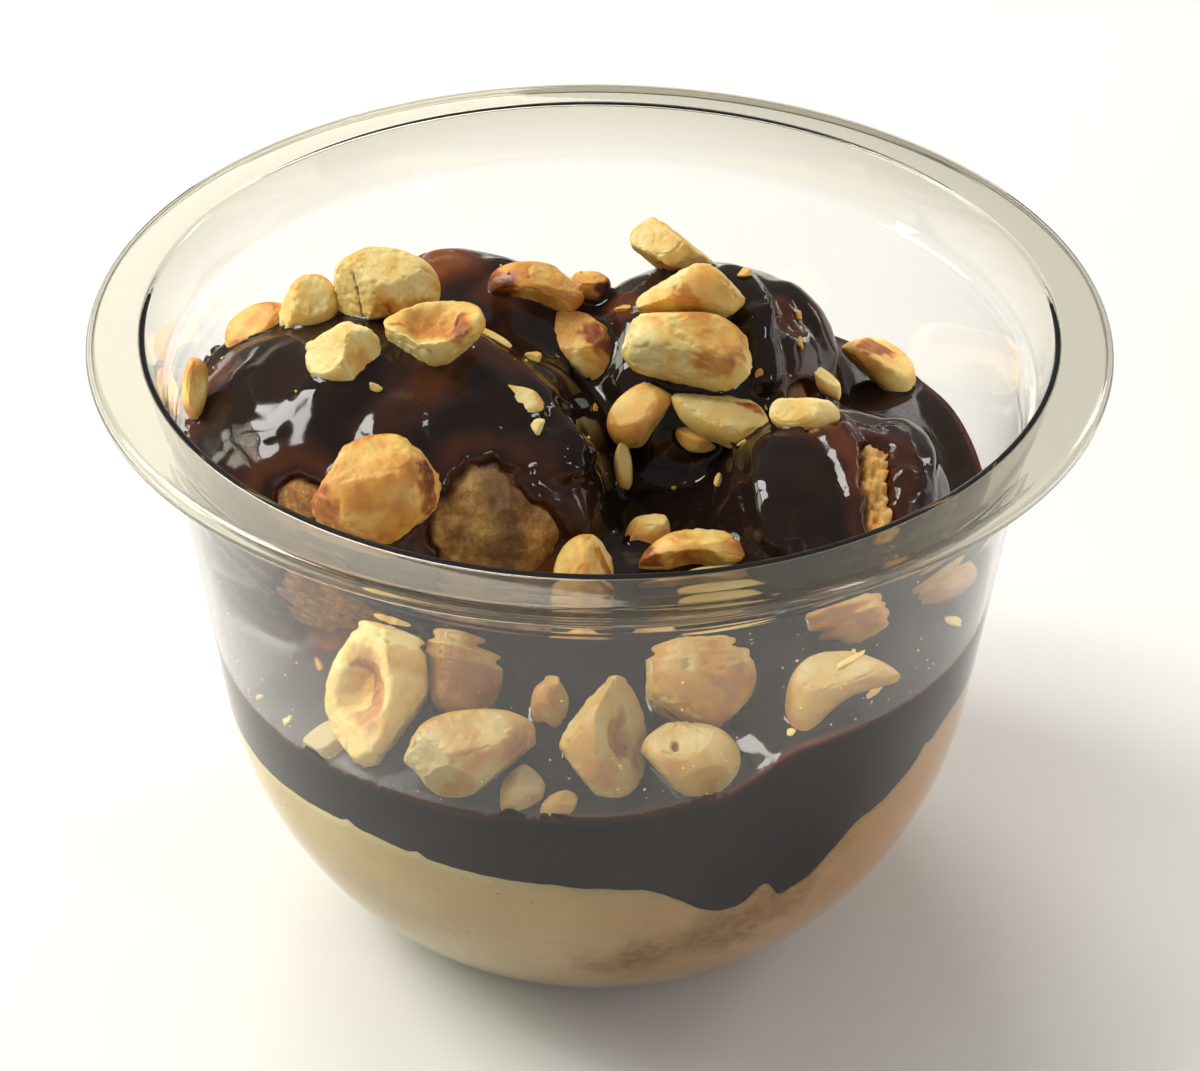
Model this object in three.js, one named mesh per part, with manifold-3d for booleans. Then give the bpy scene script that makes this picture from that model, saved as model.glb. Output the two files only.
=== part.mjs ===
// Profiterole dessert pot: a clear round-bottomed cup holding a cream layer, a chocolate sauce layer,
// four profiteroles and broken roasted hazelnuts. Millimetres, +Z up, origin in the middle of the foot.
import * as THREE from 'three';
import { mergeVertices } from 'three/addons/utils/BufferGeometryUtils.js';
import Module from 'manifold-3d';

const wasm = await Module();
wasm.setup();

// ---- driving dimensions -------------------------------------------------------------------------
const RIM_HEIGHT = 66; // top of the flange above the foot
const RIM_RADIUS = 47.5; // outside of the turned-down lip
const FLANGE_OUT = 46.3; // where the flat of the flange starts to turn down
const FLANGE_IN = 41.9; // where the flange turns into the collar
const LIP_DROP = 1.6; // height of the turned-down lip
const LEDGE_HEIGHT = 60; // stacking ledge under the collar
const LEDGE_RADIUS = 40.9; // inside edge of the collar at the ledge
const BODY_RADIUS = 41; // outside of the body just under the ledge
const BODY_TAPER = 5.7; // degrees that the straight wall leans in
const BOWL_RADIUS = 37.6; // round bottom, outside
const BOWL_AXIS = 0.3; // centre of the bowl's arc, out from the axis
const BOWL_HEIGHT = 30.6; // centre of the bowl's arc above the foot
const WALL = 0.6;
const GAP = 0.3; // between pieces that touch
const AROUND = 36; // facets round the cup

// Height of each layer where it meets the wall, as [azimuth in degrees, height]. Azimuth 0 is +X, -90 the front.
const CREAM_EDGE = [[-180, 25], [-150, 26.6], [-127, 28.1], [-95, 27.4], [-84, 27], [-71, 22.3], [-60, 22.8],
  [-48, 28.3], [-28, 32.5], [0, 32], [60, 29], [130, 27]];
const SAUCE_EDGE = [[-180, 38], [-150, 34.1], [-110, 35.3], [-90, 36.3], [-74, 37.8], [-62, 41.5],
  [-30, 40.3], [0, 43], [25, 45.5], [70, 44.5], [120, 44], [160, 42]];
const CREAM_MIDDLE = 27;
const SAUCE_MIDDLE = 44.5;
const EDGE_AT = 38; // radius at which the heights above are taken
const STEEP = 3; // power of the radius with which a layer runs from its middle height to its height at the wall
const FLAT = 1.5; // and that of the sauce behind and beside the left profiterole, where it is a low flat pool

// Profiteroles: centre, half sizes, and lumps as [direction, share of the radius, width in degrees].
const PROFITEROLES = {
  profiterole_left: {
    at: [-19.5, 4, 44], half: [20.5, 20.5, 15],
    lumps: [[[-0.85, 0.1, 0.5], 0.15, 35], [[0.8, -0.35, 0.3], 0.06, 28],
      [[-0.1, -0.8, 0.35], -0.07, 22], [[-0.55, -0.6, 0.45], 0.04, 25]],
  },
  profiterole_back_left: {
    at: [-12.5, 19, 45], half: [14.5, 13.5, 12.8],
    lumps: [[[-0.35, 0.2, 0.9], 0.14, 18], [[0.7, 0, 0.6], 0.05, 30]],
  },
  profiterole_back_right: {
    at: [10.3, 17, 44.5], half: [14.5, 15, 14],
    lumps: [[[0.6, 0.1, 0.7], 0.06, 25], [[-0.3, -0.3, 0.9], 0.03, 30], [[0.2, -0.7, 0.5], -0.05, 25]],
  },
  profiterole_right: {
    at: [22, -3, 43], half: [11.5, 13.5, 11],
    lumps: [[[-0.6, -0.5, 0.5], 0.1, 28], [[0.75, -0.1, 0.5], 0.12, 26], [[0.1, -0.3, 0.9], -0.07, 18]],
  },
};

// Hazelnut pieces. Each lies in its own upright frame, whose first axis is +X, whose second leans back by LEAN
// and whose third looks out at the front. half is its half sizes along those axes, turn its turn about the third
// in degrees and bend how far its ends curl down. A cut is a flat break [azimuth, elevation, share of the half
// size that is left], and a hollow [radius, depth] is where the kernel's cavity shows in the first of them.
const LEAN = 33;
const FINE_NUT = 3.5; // smallest half size of the pieces with the finer facets
const HAZELNUTS = [
  { at: [-21.3, 11.4, 60.9], half: [5.8, 4.1, 4], turn: -6,
    cuts: [[180, 10, 0.8], [205, 48, 0.72], [-80, 5, 0.72], [80, 50, 0.8], [-25, 50, 0.74]] },
  { at: [-28.6, 10.6, 58.7], half: [2.9, 3.8, 3], turn: -15,
    cuts: [[170, 30, 0.85], [-90, 20, 0.72], [60, 60, 0.8]] },
  { at: [-24.1, 0, 60.2], half: [3.8, 3.4, 3.2], turn: 0,
    cuts: [[125, 5, 0.78], [-92, 5, 0.85], [5, 10, 0.85], [150, 50, 0.62], [5, 45, 0.62], [80, 20, 0.85]] },
  { at: [-16, 3, 61.2], half: [5.2, 3.6, 3.6], turn: 15,
    cuts: [[100, 38, 0.3], [222, 35, 0.62], [-100, 5, 0.9], [-45, 10, 0.86],
      [-170, 5, 0.86]], hollow: [2.6, 1.6] },
  { at: [-33.5, 11, 56], half: [3.9, 2.8, 2.4], turn: 28, cuts: [[-70, 5, 0.7], [120, 50, 0.7]] },
  { at: [-38.6, 0.5, 56.2], half: [1.2, 3.4, 1.7], turn: -4, cuts: [[0, 60, 0.7]] },
  { at: [-6.3, 16.6, 58], half: [5, 2.7, 2.8], turn: -8,
    cuts: [[-100, 30, 0.6], [60, 48, 0.8], [45, 8, 0.76]] },
  { at: [-0.9, 20.5, 55.9], half: [2.4, 1.8, 1.8], turn: -15, cuts: [[90, 40, 0.7]] },
  { at: [-1.6, 12.8, 53.3], half: [5.3, 3.5, 2.8], turn: -38,
    cuts: [[-128, 14, 0.72], [100, 52, 0.62], [-50, 10, 0.88], [36, 8, 0.82]] },
  { at: [4.3, 4.3, 50.8], half: [3.9, 3, 2.6], turn: 42,
    cuts: [[-36, 12, 0.5], [-90, 15, 0.82], [130, 48, 0.72], [62, 5, 0.86]] },
  { at: [8.5, 6.7, 57.1], half: [6.8, 4.2, 4], turn: -12,
    cuts: [[-103, 10, 0.74], [-112, 48, 0.76], [60, 50, 0.8], [12, 8, 0.9], [92, 8, 0.82], [155, 10, 0.88]] },
  { at: [9, 12.2, 59.9], half: [5.7, 3.2, 3], turn: 8,
    cuts: [[-95, 25, 0.5], [150, 42, 0.75], [30, 30, 0.86], [45, 5, 0.74], [122, 8, 0.7]] },
  { at: [7.4, 22, 59.2], half: [4.9, 3.1, 2.4], turn: -34,
    cuts: [[-125, 10, 0.62], [-60, 42, 0.62], [120, 55, 0.65], [53, 8, 0.56]] },
  { at: [12.6, 3.2, 51.6], half: [5.9, 2.8, 2.2], turn: -22,
    cuts: [[85, 20, 0.5], [-90, 15, 0.88], [80, 62, 0.6], [36, 5, 0.78]] },
  { at: [9.5, 2.7, 49.3], half: [2.2, 1.3, 1.2], turn: -25, cuts: [[90, 40, 0.6]] },
  { at: [29.3, 20.5, 46.8], half: [4.6, 2.4, 2.2], turn: -38, bend: 1.6,
    cuts: [[60, 40, 0.65], [-30, 10, 0.9], [-135, 10, 0.72]] },
  { at: [22.3, 11, 51], half: [3, 1.1, 1.1], turn: -42, cuts: [[60, 40, 0.6]] },
  { at: [19.6, -0.4, 54.4], half: [3.4, 2, 1.6], turn: -3,
    cuts: [[90, 12, 0.7], [-90, 5, 0.8], [120, 60, 0.6]] },
  { at: [-8, -2.1, 56.2], half: [3.5, 1.9, 1.1], turn: -14, cuts: [[90, 62, 0.5], [180, 5, 0.8]] },
  { at: [2.4, 0.9, 47.2], half: [0.9, 2.9, 0.9], turn: 6, cuts: [[20, 60, 0.6]] },
  { at: [-20.5, -13.7, 54.1], half: [6.4, 5.1, 4], turn: 22,
    cuts: [[150, 5, 0.8], [-106, 8, 0.76], [100, 45, 0.8], [0, 30, 0.85], [-140, 35, 0.82], [40, 10, 0.84],
      [-50, 8, 0.92]] },
  { at: [-1.2, -14.3, 45.6], half: [2.9, 3.6, 2.6], turn: -12, cuts: [[25, 30, 0.65], [150, 42, 0.78]] },
  { at: [4.9, -7.3, 45.3], half: [2.6, 1.8, 1.4], turn: 22, cuts: [[90, 30, 0.7], [20, 30, 0.8]] },
  { at: [9.3, -11.7, 45.7], half: [5.6, 2.4, 2.4], turn: 6, bend: 1.2,
    cuts: [[-90, 35, 0.35], [90, 20, 0.85]] },
  { at: [12.1, -14.8, 44.9], half: [4.8, 1.8, 1.6], turn: 2, cuts: [[90, 50, 0.4]] },
  { at: [-10, 7.6, 57.3], half: [2.5, 0.7, 0.7], turn: -35, cuts: [[60, 40, 0.6]] },
  { at: [-19.9, -26.9, 41.4], half: [4.8, 6.9, 4.2], turn: -10,
    cuts: [[172, 50, 0.42], [-148, 8, 0.84], [60, 20, 0.9], [-33, 8, 0.79],
      [147, 5, 0.88]], hollow: [2.6, 1.8] },
  { at: [-24.3, -27.3, 35.5], half: [2.3, 2.2, 1.4], turn: 0, cuts: [[120, 50, 0.6]] },
  { at: [-12, -25.4, 42.8], half: [3.7, 4.5, 3], turn: 12,
    cuts: [[180, 30, 0.8], [48, 10, 0.62], [95, 10, 0.85]] },
  { at: [-11.2, -33.2, 39.8], half: [6.4, 3.9, 3.8], turn: 12,
    cuts: [[160, 5, 0.86], [-50, 8, 0.7], [200, 48, 0.72], [100, 48, 0.8], [-136, 8, 0.8], [-10, 20, 0.88]] },
  { at: [-4.1, -28.6, 41.7], half: [1.7, 2.6, 1.5], turn: -6, cuts: [[90, 10, 0.8], [0, 50, 0.7]] },
  { at: [0.9, -33.4, 41.5], half: [4.2, 5.8, 3.6], turn: -6,
    cuts: [[15, 40, 0.42], [140, 8, 0.64], [5, 5, 0.88], [-142, 8, 0.74],
      [-100, 10, 0.86]], hollow: [1.6, 0.9] },
  { at: [9.2, -28, 44.1], half: [5.3, 4.6, 3.8], turn: 0,
    cuts: [[-45, 5, 0.88], [178, 5, 0.88], [92, 10, 0.88], [80, 52, 0.86], [-120, 30, 0.86], [50, 8, 0.93]] },
  { at: [8.3, -34.8, 40.7], half: [4.5, 3.5, 3], turn: -12,
    cuts: [[84, 8, 0.84], [-138, 8, 0.74], [100, 45, 0.8], [-40, 20, 0.9]] },
  { at: [20.8, -29.1, 43.7], half: [5.9, 2.5, 2.6], turn: 36, bend: 3.4, cuts: [[100, 45, 0.8]] },
  { at: [-6.5, -36, 37.6], half: [1.9, 2.8, 1.2], turn: -25, cuts: [[60, 50, 0.6]] },
  { at: [-3, -36.9, 36.9], half: [1.9, 1.2, 0.9], turn: 25, cuts: [[60, 50, 0.6]] },
  { at: [23, -18.6, 44.5], half: [4, 2.9, 2.4], turn: -8, cuts: [[90, 30, 0.7], [-60, 10, 0.85]] },
  { at: [31.9, -12.1, 43.3], half: [4.2, 1.9, 1.8], turn: 16, cuts: [[90, 50, 0.6]] },
  { at: [-26, 24, 49], half: [4.6, 3.6, 3.2], turn: 30, cuts: [[-60, 30, 0.6], [110, 30, 0.8]] },
  { at: [-6, 31, 48.5], half: [4.9, 3.4, 3], turn: -20, cuts: [[100, 20, 0.6], [-100, 20, 0.8]] },
  { at: [3, 34.5, 45.5], half: [3.4, 2.6, 2.2], turn: 40, cuts: [[60, 40, 0.7]] },
  { at: [17, 31, 46.5], half: [4.4, 3, 2.6], turn: 15, cuts: [[-90, 40, 0.6], [120, 10, 0.8]] },
];

// ---- helpers ------------------------------------------------------------------------------------
const rad = THREE.MathUtils.degToRad;

/** A closed three.js geometry as a solid, turned the right way out. */
function solidOf(geometry) {
  const bare = geometry.clone();
  bare.deleteAttribute('normal');
  bare.deleteAttribute('uv');
  const merged = mergeVertices(bare, 1e-4);
  const mesh = new wasm.Mesh({
    numProp: 3,
    vertProperties: new Float32Array(merged.attributes.position.array),
    triVerts: new Uint32Array(merged.index.array),
  });
  const solid = new wasm.Manifold(mesh);
  if (solid.volume() > 0) return solid;
  for (let i = 0; i < mesh.triVerts.length; i += 3) {
    mesh.triVerts.subarray(i, i + 3).reverse();
  }
  return new wasm.Manifold(mesh);
}

/** The largest body of a solid, as a geometry. */
function geometryOf(solid) {
  const bodies = solid.decompose().sort((a, b) => b.volume() - a.volume());
  const mesh = bodies[0].getMesh();
  const geometry = new THREE.BufferGeometry();
  geometry.setAttribute('position', new THREE.BufferAttribute(mesh.vertProperties, 3));
  geometry.setIndex(new THREE.BufferAttribute(mesh.triVerts, 1));
  geometry.computeVertexNormals();
  return geometry;
}

/** A solid turned about the Z axis from [radius, height] points that start and end on it or close on themselves. */
function turned(points) {
  const profile = points.map(([r, z]) => new THREE.Vector2(r, z));
  return solidOf(new THREE.LatheGeometry(profile, AROUND).rotateX(Math.PI / 2));
}

/** Height at an azimuth, from [azimuth, height] pairs joined smoothly all round. */
function edgeHeight(edge, azimuth) {
  let after = edge.findIndex(([a]) => a > azimuth);
  if (after < 0) after = edge.length;
  const [a0, h0] = edge[after - 1];
  const [a1, h1] = after < edge.length ? edge[after] : [180, edge[0][1]];
  return THREE.MathUtils.lerp(h0, h1, THREE.MathUtils.smoothstep(azimuth, a0, a1));
}

/** Power of the radius with which the sauce runs to the wall at an azimuth. */
function saucePower(azimuth) {
  const front = THREE.MathUtils.smoothstep(-azimuth, 115, 140);
  const back = THREE.MathUtils.smoothstep(azimuth, 125, 155);
  return THREE.MathUtils.lerp(STEEP, FLAT, front + back);
}

/** Top of a layer at x, y: its height in the middle runs into its height along the wall. */
function layerHeight(edge, middle, x, y) {
  const azimuth = THREE.MathUtils.clamp(THREE.MathUtils.radToDeg(Math.atan2(y, x)), -180, 179.999);
  const power = edge === SAUCE_EDGE ? saucePower(azimuth) : STEEP;
  const share = Math.min(Math.hypot(x, y) / EDGE_AT, 1) ** power;
  return THREE.MathUtils.lerp(middle, edgeHeight(edge, azimuth), share);
}

const creamTop = (x, y) => layerHeight(CREAM_EDGE, CREAM_MIDDLE, x, y);
const sauceTop = (x, y) => layerHeight(SAUCE_EDGE, SAUCE_MIDDLE, x, y);

/** A round slab, wider than the cup, between two surfaces given as heights over x, y. */
function slab(bottom, top) {
  const rings = [0, 12, 23, 32, EDGE_AT, EDGE_AT + 6];
  const positions = [];
  const indices = [];
  const put = (r, k, height) => {
    const angle = (2 * Math.PI * k) / AROUND;
    const x = r * Math.cos(angle);
    const y = r * Math.sin(angle);
    positions.push(x, y, height(x, y));
    return positions.length / 3 - 1;
  };
  const ringsOf = (height) => rings.map((r) => Array.from({ length: AROUND }, (_, k) => put(r, k, height)));
  const upper = ringsOf(top);
  const lower = ringsOf(bottom);
  for (let k = 0; k < AROUND; k += 1) {
    const next = (k + 1) % AROUND;
    for (let i = 0; i + 1 < rings.length; i += 1) {
      indices.push(upper[i][k], upper[i + 1][k], upper[i + 1][next]);
      indices.push(lower[i][k], lower[i + 1][next], lower[i + 1][k]);
      if (i > 0) {
        indices.push(upper[i][k], upper[i + 1][next], upper[i][next]);
        indices.push(lower[i][k], lower[i][next], lower[i + 1][next]);
      }
    }
    const last = rings.length - 1;
    indices.push(upper[last][k], lower[last][k], lower[last][next]);
    indices.push(upper[last][k], lower[last][next], upper[last][next]);
  }
  const geometry = new THREE.BufferGeometry();
  geometry.setAttribute('position', new THREE.Float32BufferAttribute(positions, 3));
  geometry.setIndex(indices);
  return solidOf(geometry);
}

// ---- cup ----------------------------------------------------------------------------------------
/** Body profile from the foot up to the ledge, at a distance inside the outer surface. */
function bodyProfile(inset) {
  const radius = BOWL_RADIUS - inset;
  const low = Math.asin((BOWL_HEIGHT - inset) / radius);
  const high = rad(BODY_TAPER);
  const steps = 6;
  const points = [[0, inset]];
  for (let i = 0; i <= steps; i += 1) {
    const angle = THREE.MathUtils.lerp(low, high, i / steps);
    points.push([BOWL_AXIS + radius * Math.cos(angle), BOWL_HEIGHT - radius * Math.sin(angle)]);
  }
  points.push([BODY_RADIUS - inset / Math.cos(high), LEDGE_HEIGHT - WALL]);
  return points;
}

/** The room inside the cup, a gap clear of its wall. */
const room = turned([
  ...bodyProfile(WALL + GAP),
  [LEDGE_RADIUS - WALL - GAP, RIM_HEIGHT + 10],
  [0, RIM_HEIGHT + 10],
]);

function cup() {
  const inner = bodyProfile(WALL).slice(0, -1);
  const lipUnder = RIM_HEIGHT - LIP_DROP;
  const outerRim = [
    [LEDGE_RADIUS + WALL, LEDGE_HEIGHT - WALL],
    [FLANGE_IN + WALL, RIM_HEIGHT - 2 * WALL],
    [FLANGE_IN + 2 * WALL, RIM_HEIGHT - WALL],
    [RIM_RADIUS - 2 * WALL, RIM_HEIGHT - WALL],
    [RIM_RADIUS - WALL, RIM_HEIGHT - 2 * WALL],
    [RIM_RADIUS - WALL, lipUnder],
    [RIM_RADIUS, lipUnder],
    [RIM_RADIUS, RIM_HEIGHT - WALL],
    [FLANGE_OUT, RIM_HEIGHT],
  ];
  const innerRim = [
    [FLANGE_IN + WALL, RIM_HEIGHT],
    [FLANGE_IN, RIM_HEIGHT - WALL],
    [LEDGE_RADIUS, LEDGE_HEIGHT],
    [BODY_RADIUS - WALL / Math.cos(rad(BODY_TAPER)), LEDGE_HEIGHT],
  ];
  return turned([...bodyProfile(0), ...outerRim, ...innerRim, ...inner.reverse()]);
}

// ---- profiteroles -------------------------------------------------------------------------------
/** A lumpy ball of choux, optionally grown so that what touches it can be cut clear. */
function choux({ at, half, lumps }, grow = 0) {
  const geometry = new THREE.IcosahedronGeometry(1, 3);
  const position = geometry.attributes.position;
  const spot = new THREE.Vector3();
  for (let i = 0; i < position.count; i += 1) {
    spot.fromBufferAttribute(position, i);
    let scale = 1;
    for (const [direction, share, width] of lumps) {
      const away = spot.angleTo(new THREE.Vector3(...direction));
      scale += share * Math.exp(-0.5 * (away / rad(width)) ** 2);
    }
    spot.set(spot.x * (half[0] * scale + grow), spot.y * (half[1] * scale + grow), spot.z * (half[2] * scale + grow));
    position.setXYZ(i, at[0] + spot.x, at[1] + spot.y, at[2] + spot.z);
  }
  return solidOf(geometry);
}

// ---- hazelnuts ----------------------------------------------------------------------------------
/** Direction in a nut's own upright frame. */
function direction(azimuth, elevation) {
  const across = Math.cos(rad(elevation));
  const up = Math.sin(rad(elevation));
  return new THREE.Vector3(across * Math.cos(rad(azimuth)), across * Math.sin(rad(azimuth)), up);
}

/** How far a turned ellipsoid reaches along a direction. */
function reachAlong(out, half, turn) {
  const own = out.clone().applyAxisAngle(new THREE.Vector3(0, 0, 1), -rad(turn));
  return Math.hypot(own.x * half[0], own.y * half[1], own.z * half[2]);
}

/** A ball whose cap of a radius and depth sinks into a face that lies at a distance along a direction. */
function scoopAt(out, distance, radius, depth) {
  const ball = (radius * radius + depth * depth) / (2 * depth);
  const geometry = new THREE.IcosahedronGeometry(ball, 2);
  geometry.translate(...out.clone().multiplyScalar(distance + ball - depth).toArray());
  return solidOf(geometry);
}

/** One broken piece of hazelnut in its place, grown by a distance to cut its neighbours clear. */
function hazelnut({ at, half, turn, cuts, hollow, bend = 0 }, grow = 0) {
  const detail = Math.min(...half) > FINE_NUT ? 2 : 1;
  const geometry = new THREE.IcosahedronGeometry(1, detail);
  geometry.scale(half[0] + grow, half[1] + grow, half[2] + grow);
  const position = geometry.attributes.position;
  for (let i = 0; i < position.count; i += 1) {
    const curl = (position.getX(i) / half[0]) ** 2 - 0.35;
    position.setY(i, position.getY(i) - bend * curl);
  }
  geometry.rotateZ(rad(turn));
  let piece = solidOf(geometry);
  for (const [azimuth, elevation, share] of cuts) {
    const out = direction(azimuth, elevation);
    const distance = share * reachAlong(out, half, turn) + grow;
    piece = piece.trimByPlane(out.clone().negate().toArray(), -distance);
  }
  if (hollow && grow === 0) {
    const [azimuth, elevation, share] = cuts[0];
    const out = direction(azimuth, elevation);
    piece = piece.subtract(scoopAt(out, share * reachAlong(out, half, turn), ...hollow));
  }
  const placed = new THREE.Matrix4().makeRotationX(rad(90 - LEAN)).setPosition(...at);
  return piece.transform(placed.toArray());
}

// ---- pieces -------------------------------------------------------------------------------------
const CLEAR = new THREE.MeshStandardMaterial({
  color: 0xd8d6c8, roughness: 0.08, metalness: 0, transparent: true, opacity: 0.35, side: THREE.DoubleSide,
});
const CREAM = new THREE.MeshStandardMaterial({ color: 0xcdb48a, roughness: 0.55, metalness: 0 });
const CHOCOLATE = new THREE.MeshStandardMaterial({ color: 0x2a1712, roughness: 0.15, metalness: 0 });
const GLAZED_CHOUX = new THREE.MeshStandardMaterial({ color: 0x4a2a1c, roughness: 0.25, metalness: 0 });
const ROASTED_NUT = new THREE.MeshStandardMaterial({ color: 0xd9a860, roughness: 0.5, metalness: 0 });

const dessert = new THREE.Group();

function add(name, solid, material) {
  const mesh = new THREE.Mesh(geometryOf(solid), material.clone());
  mesh.name = name;
  dessert.add(mesh);
}

add('cup', cup(), CLEAR);
add('cream', slab(() => -1, creamTop).intersect(room), CREAM);

let sauce = slab((x, y) => creamTop(x, y) + GAP, sauceTop).intersect(room);
let taken = slab(() => -1, (x, y) => sauceTop(x, y) + GAP);
const balls = [];
for (const [name, shape] of Object.entries(PROFITEROLES)) {
  let ball = choux(shape).intersect(room);
  for (const other of balls) {
    ball = ball.subtract(other);
  }
  add(name, ball, GLAZED_CHOUX);
  const grown = choux(shape, GAP);
  balls.push(grown);
  sauce = sauce.subtract(grown);
}
add('chocolate_sauce', sauce, CHOCOLATE);
for (const ball of balls) {
  taken = taken.add(ball);
}

HAZELNUTS.forEach((shape, i) => {
  const piece = hazelnut(shape).intersect(room).subtract(taken);
  taken = taken.add(hazelnut(shape, GAP));
  add(`hazelnut_${String(i + 1).padStart(2, '0')}`, piece, ROASTED_NUT);
});

export default dessert;
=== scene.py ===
"""Looks of the profiterole dessert pot: a clear cup with cream, chocolate sauce, profiteroles and hazelnuts.

Sizes are in millimetres in the part's own frame, with the origin in the middle of the foot and +Z up, until a
mesh is made. A field is a function that is negative inside a body and about the distance to it outside.
"""
import math
from functools import cache
from itertools import combinations

import bpy
import numpy as np
from mathutils import Matrix, Vector
from mathutils.bvhtree import BVHTree


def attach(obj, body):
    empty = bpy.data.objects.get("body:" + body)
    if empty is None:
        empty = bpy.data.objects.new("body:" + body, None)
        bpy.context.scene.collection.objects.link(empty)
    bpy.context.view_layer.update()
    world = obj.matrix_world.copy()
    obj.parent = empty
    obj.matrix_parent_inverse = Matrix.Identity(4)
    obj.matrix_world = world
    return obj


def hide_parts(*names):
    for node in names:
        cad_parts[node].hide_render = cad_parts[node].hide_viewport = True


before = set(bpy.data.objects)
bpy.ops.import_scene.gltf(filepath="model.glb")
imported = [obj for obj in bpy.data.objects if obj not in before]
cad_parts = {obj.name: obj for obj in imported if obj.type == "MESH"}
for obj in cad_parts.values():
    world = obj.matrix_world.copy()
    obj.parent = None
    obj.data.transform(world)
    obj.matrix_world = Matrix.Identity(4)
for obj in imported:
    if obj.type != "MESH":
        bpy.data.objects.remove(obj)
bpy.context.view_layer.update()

MM = 0.001

# ---- sizes, as the solids have them ----
RIM_HEIGHT = 66.0
RIM_RADIUS = 47.5
FLANGE_OUT = 46.3
FLANGE_IN = 41.9
LIP_DROP = 1.6
LEDGE_HEIGHT = 60.0
LEDGE_RADIUS = 40.9
BODY_RADIUS = 41.0
BODY_TAPER = 5.7
BOWL_RADIUS = 37.6
BOWL_AXIS = 0.3
BOWL_HEIGHT = 30.6
WALL = 0.6
REACH = 0.08  # how far the chocolate reaches into the wall, so that no air shows between them
CREAM_REACH = 0.16  # and the cream, which lies over the chocolate's lower edge
INSET = WALL - REACH

# Height of each layer where it meets the wall, as (azimuth in degrees, height). Azimuth -90 is the front.
CREAM_EDGE = [(-180, 25), (-150, 26.6), (-127, 28.1), (-95, 27.4), (-84, 27), (-71, 22.3), (-60, 22.8),
              (-48, 28.3), (-28, 32.5), (0, 32), (60, 29), (130, 27)]
SAUCE_EDGE = [(-180, 38), (-150, 34.1), (-110, 35.3), (-90, 36.3), (-74, 37.8), (-62, 41.5),
              (-30, 40.3), (0, 43), (25, 45.5), (70, 44.5), (120, 44), (160, 42)]
# Notches and spikes in the cream's line, as (azimuth, half width in degrees, height).
CREAM_NOTCHES = [(-65.3, 1.5, 2.1), (-62.2, 1, -0.7), (-35.8, 0.7, 0.8), (-127.2, 0.8, 0.6),
                 (-115.4, 0.6, 0.4)]
CREAM_MIDDLE = 27.0  # height of each layer in the middle
SAUCE_MIDDLE = 44.5
EDGE_AT = 38.0  # radius where a layer has the height of its edge

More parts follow.
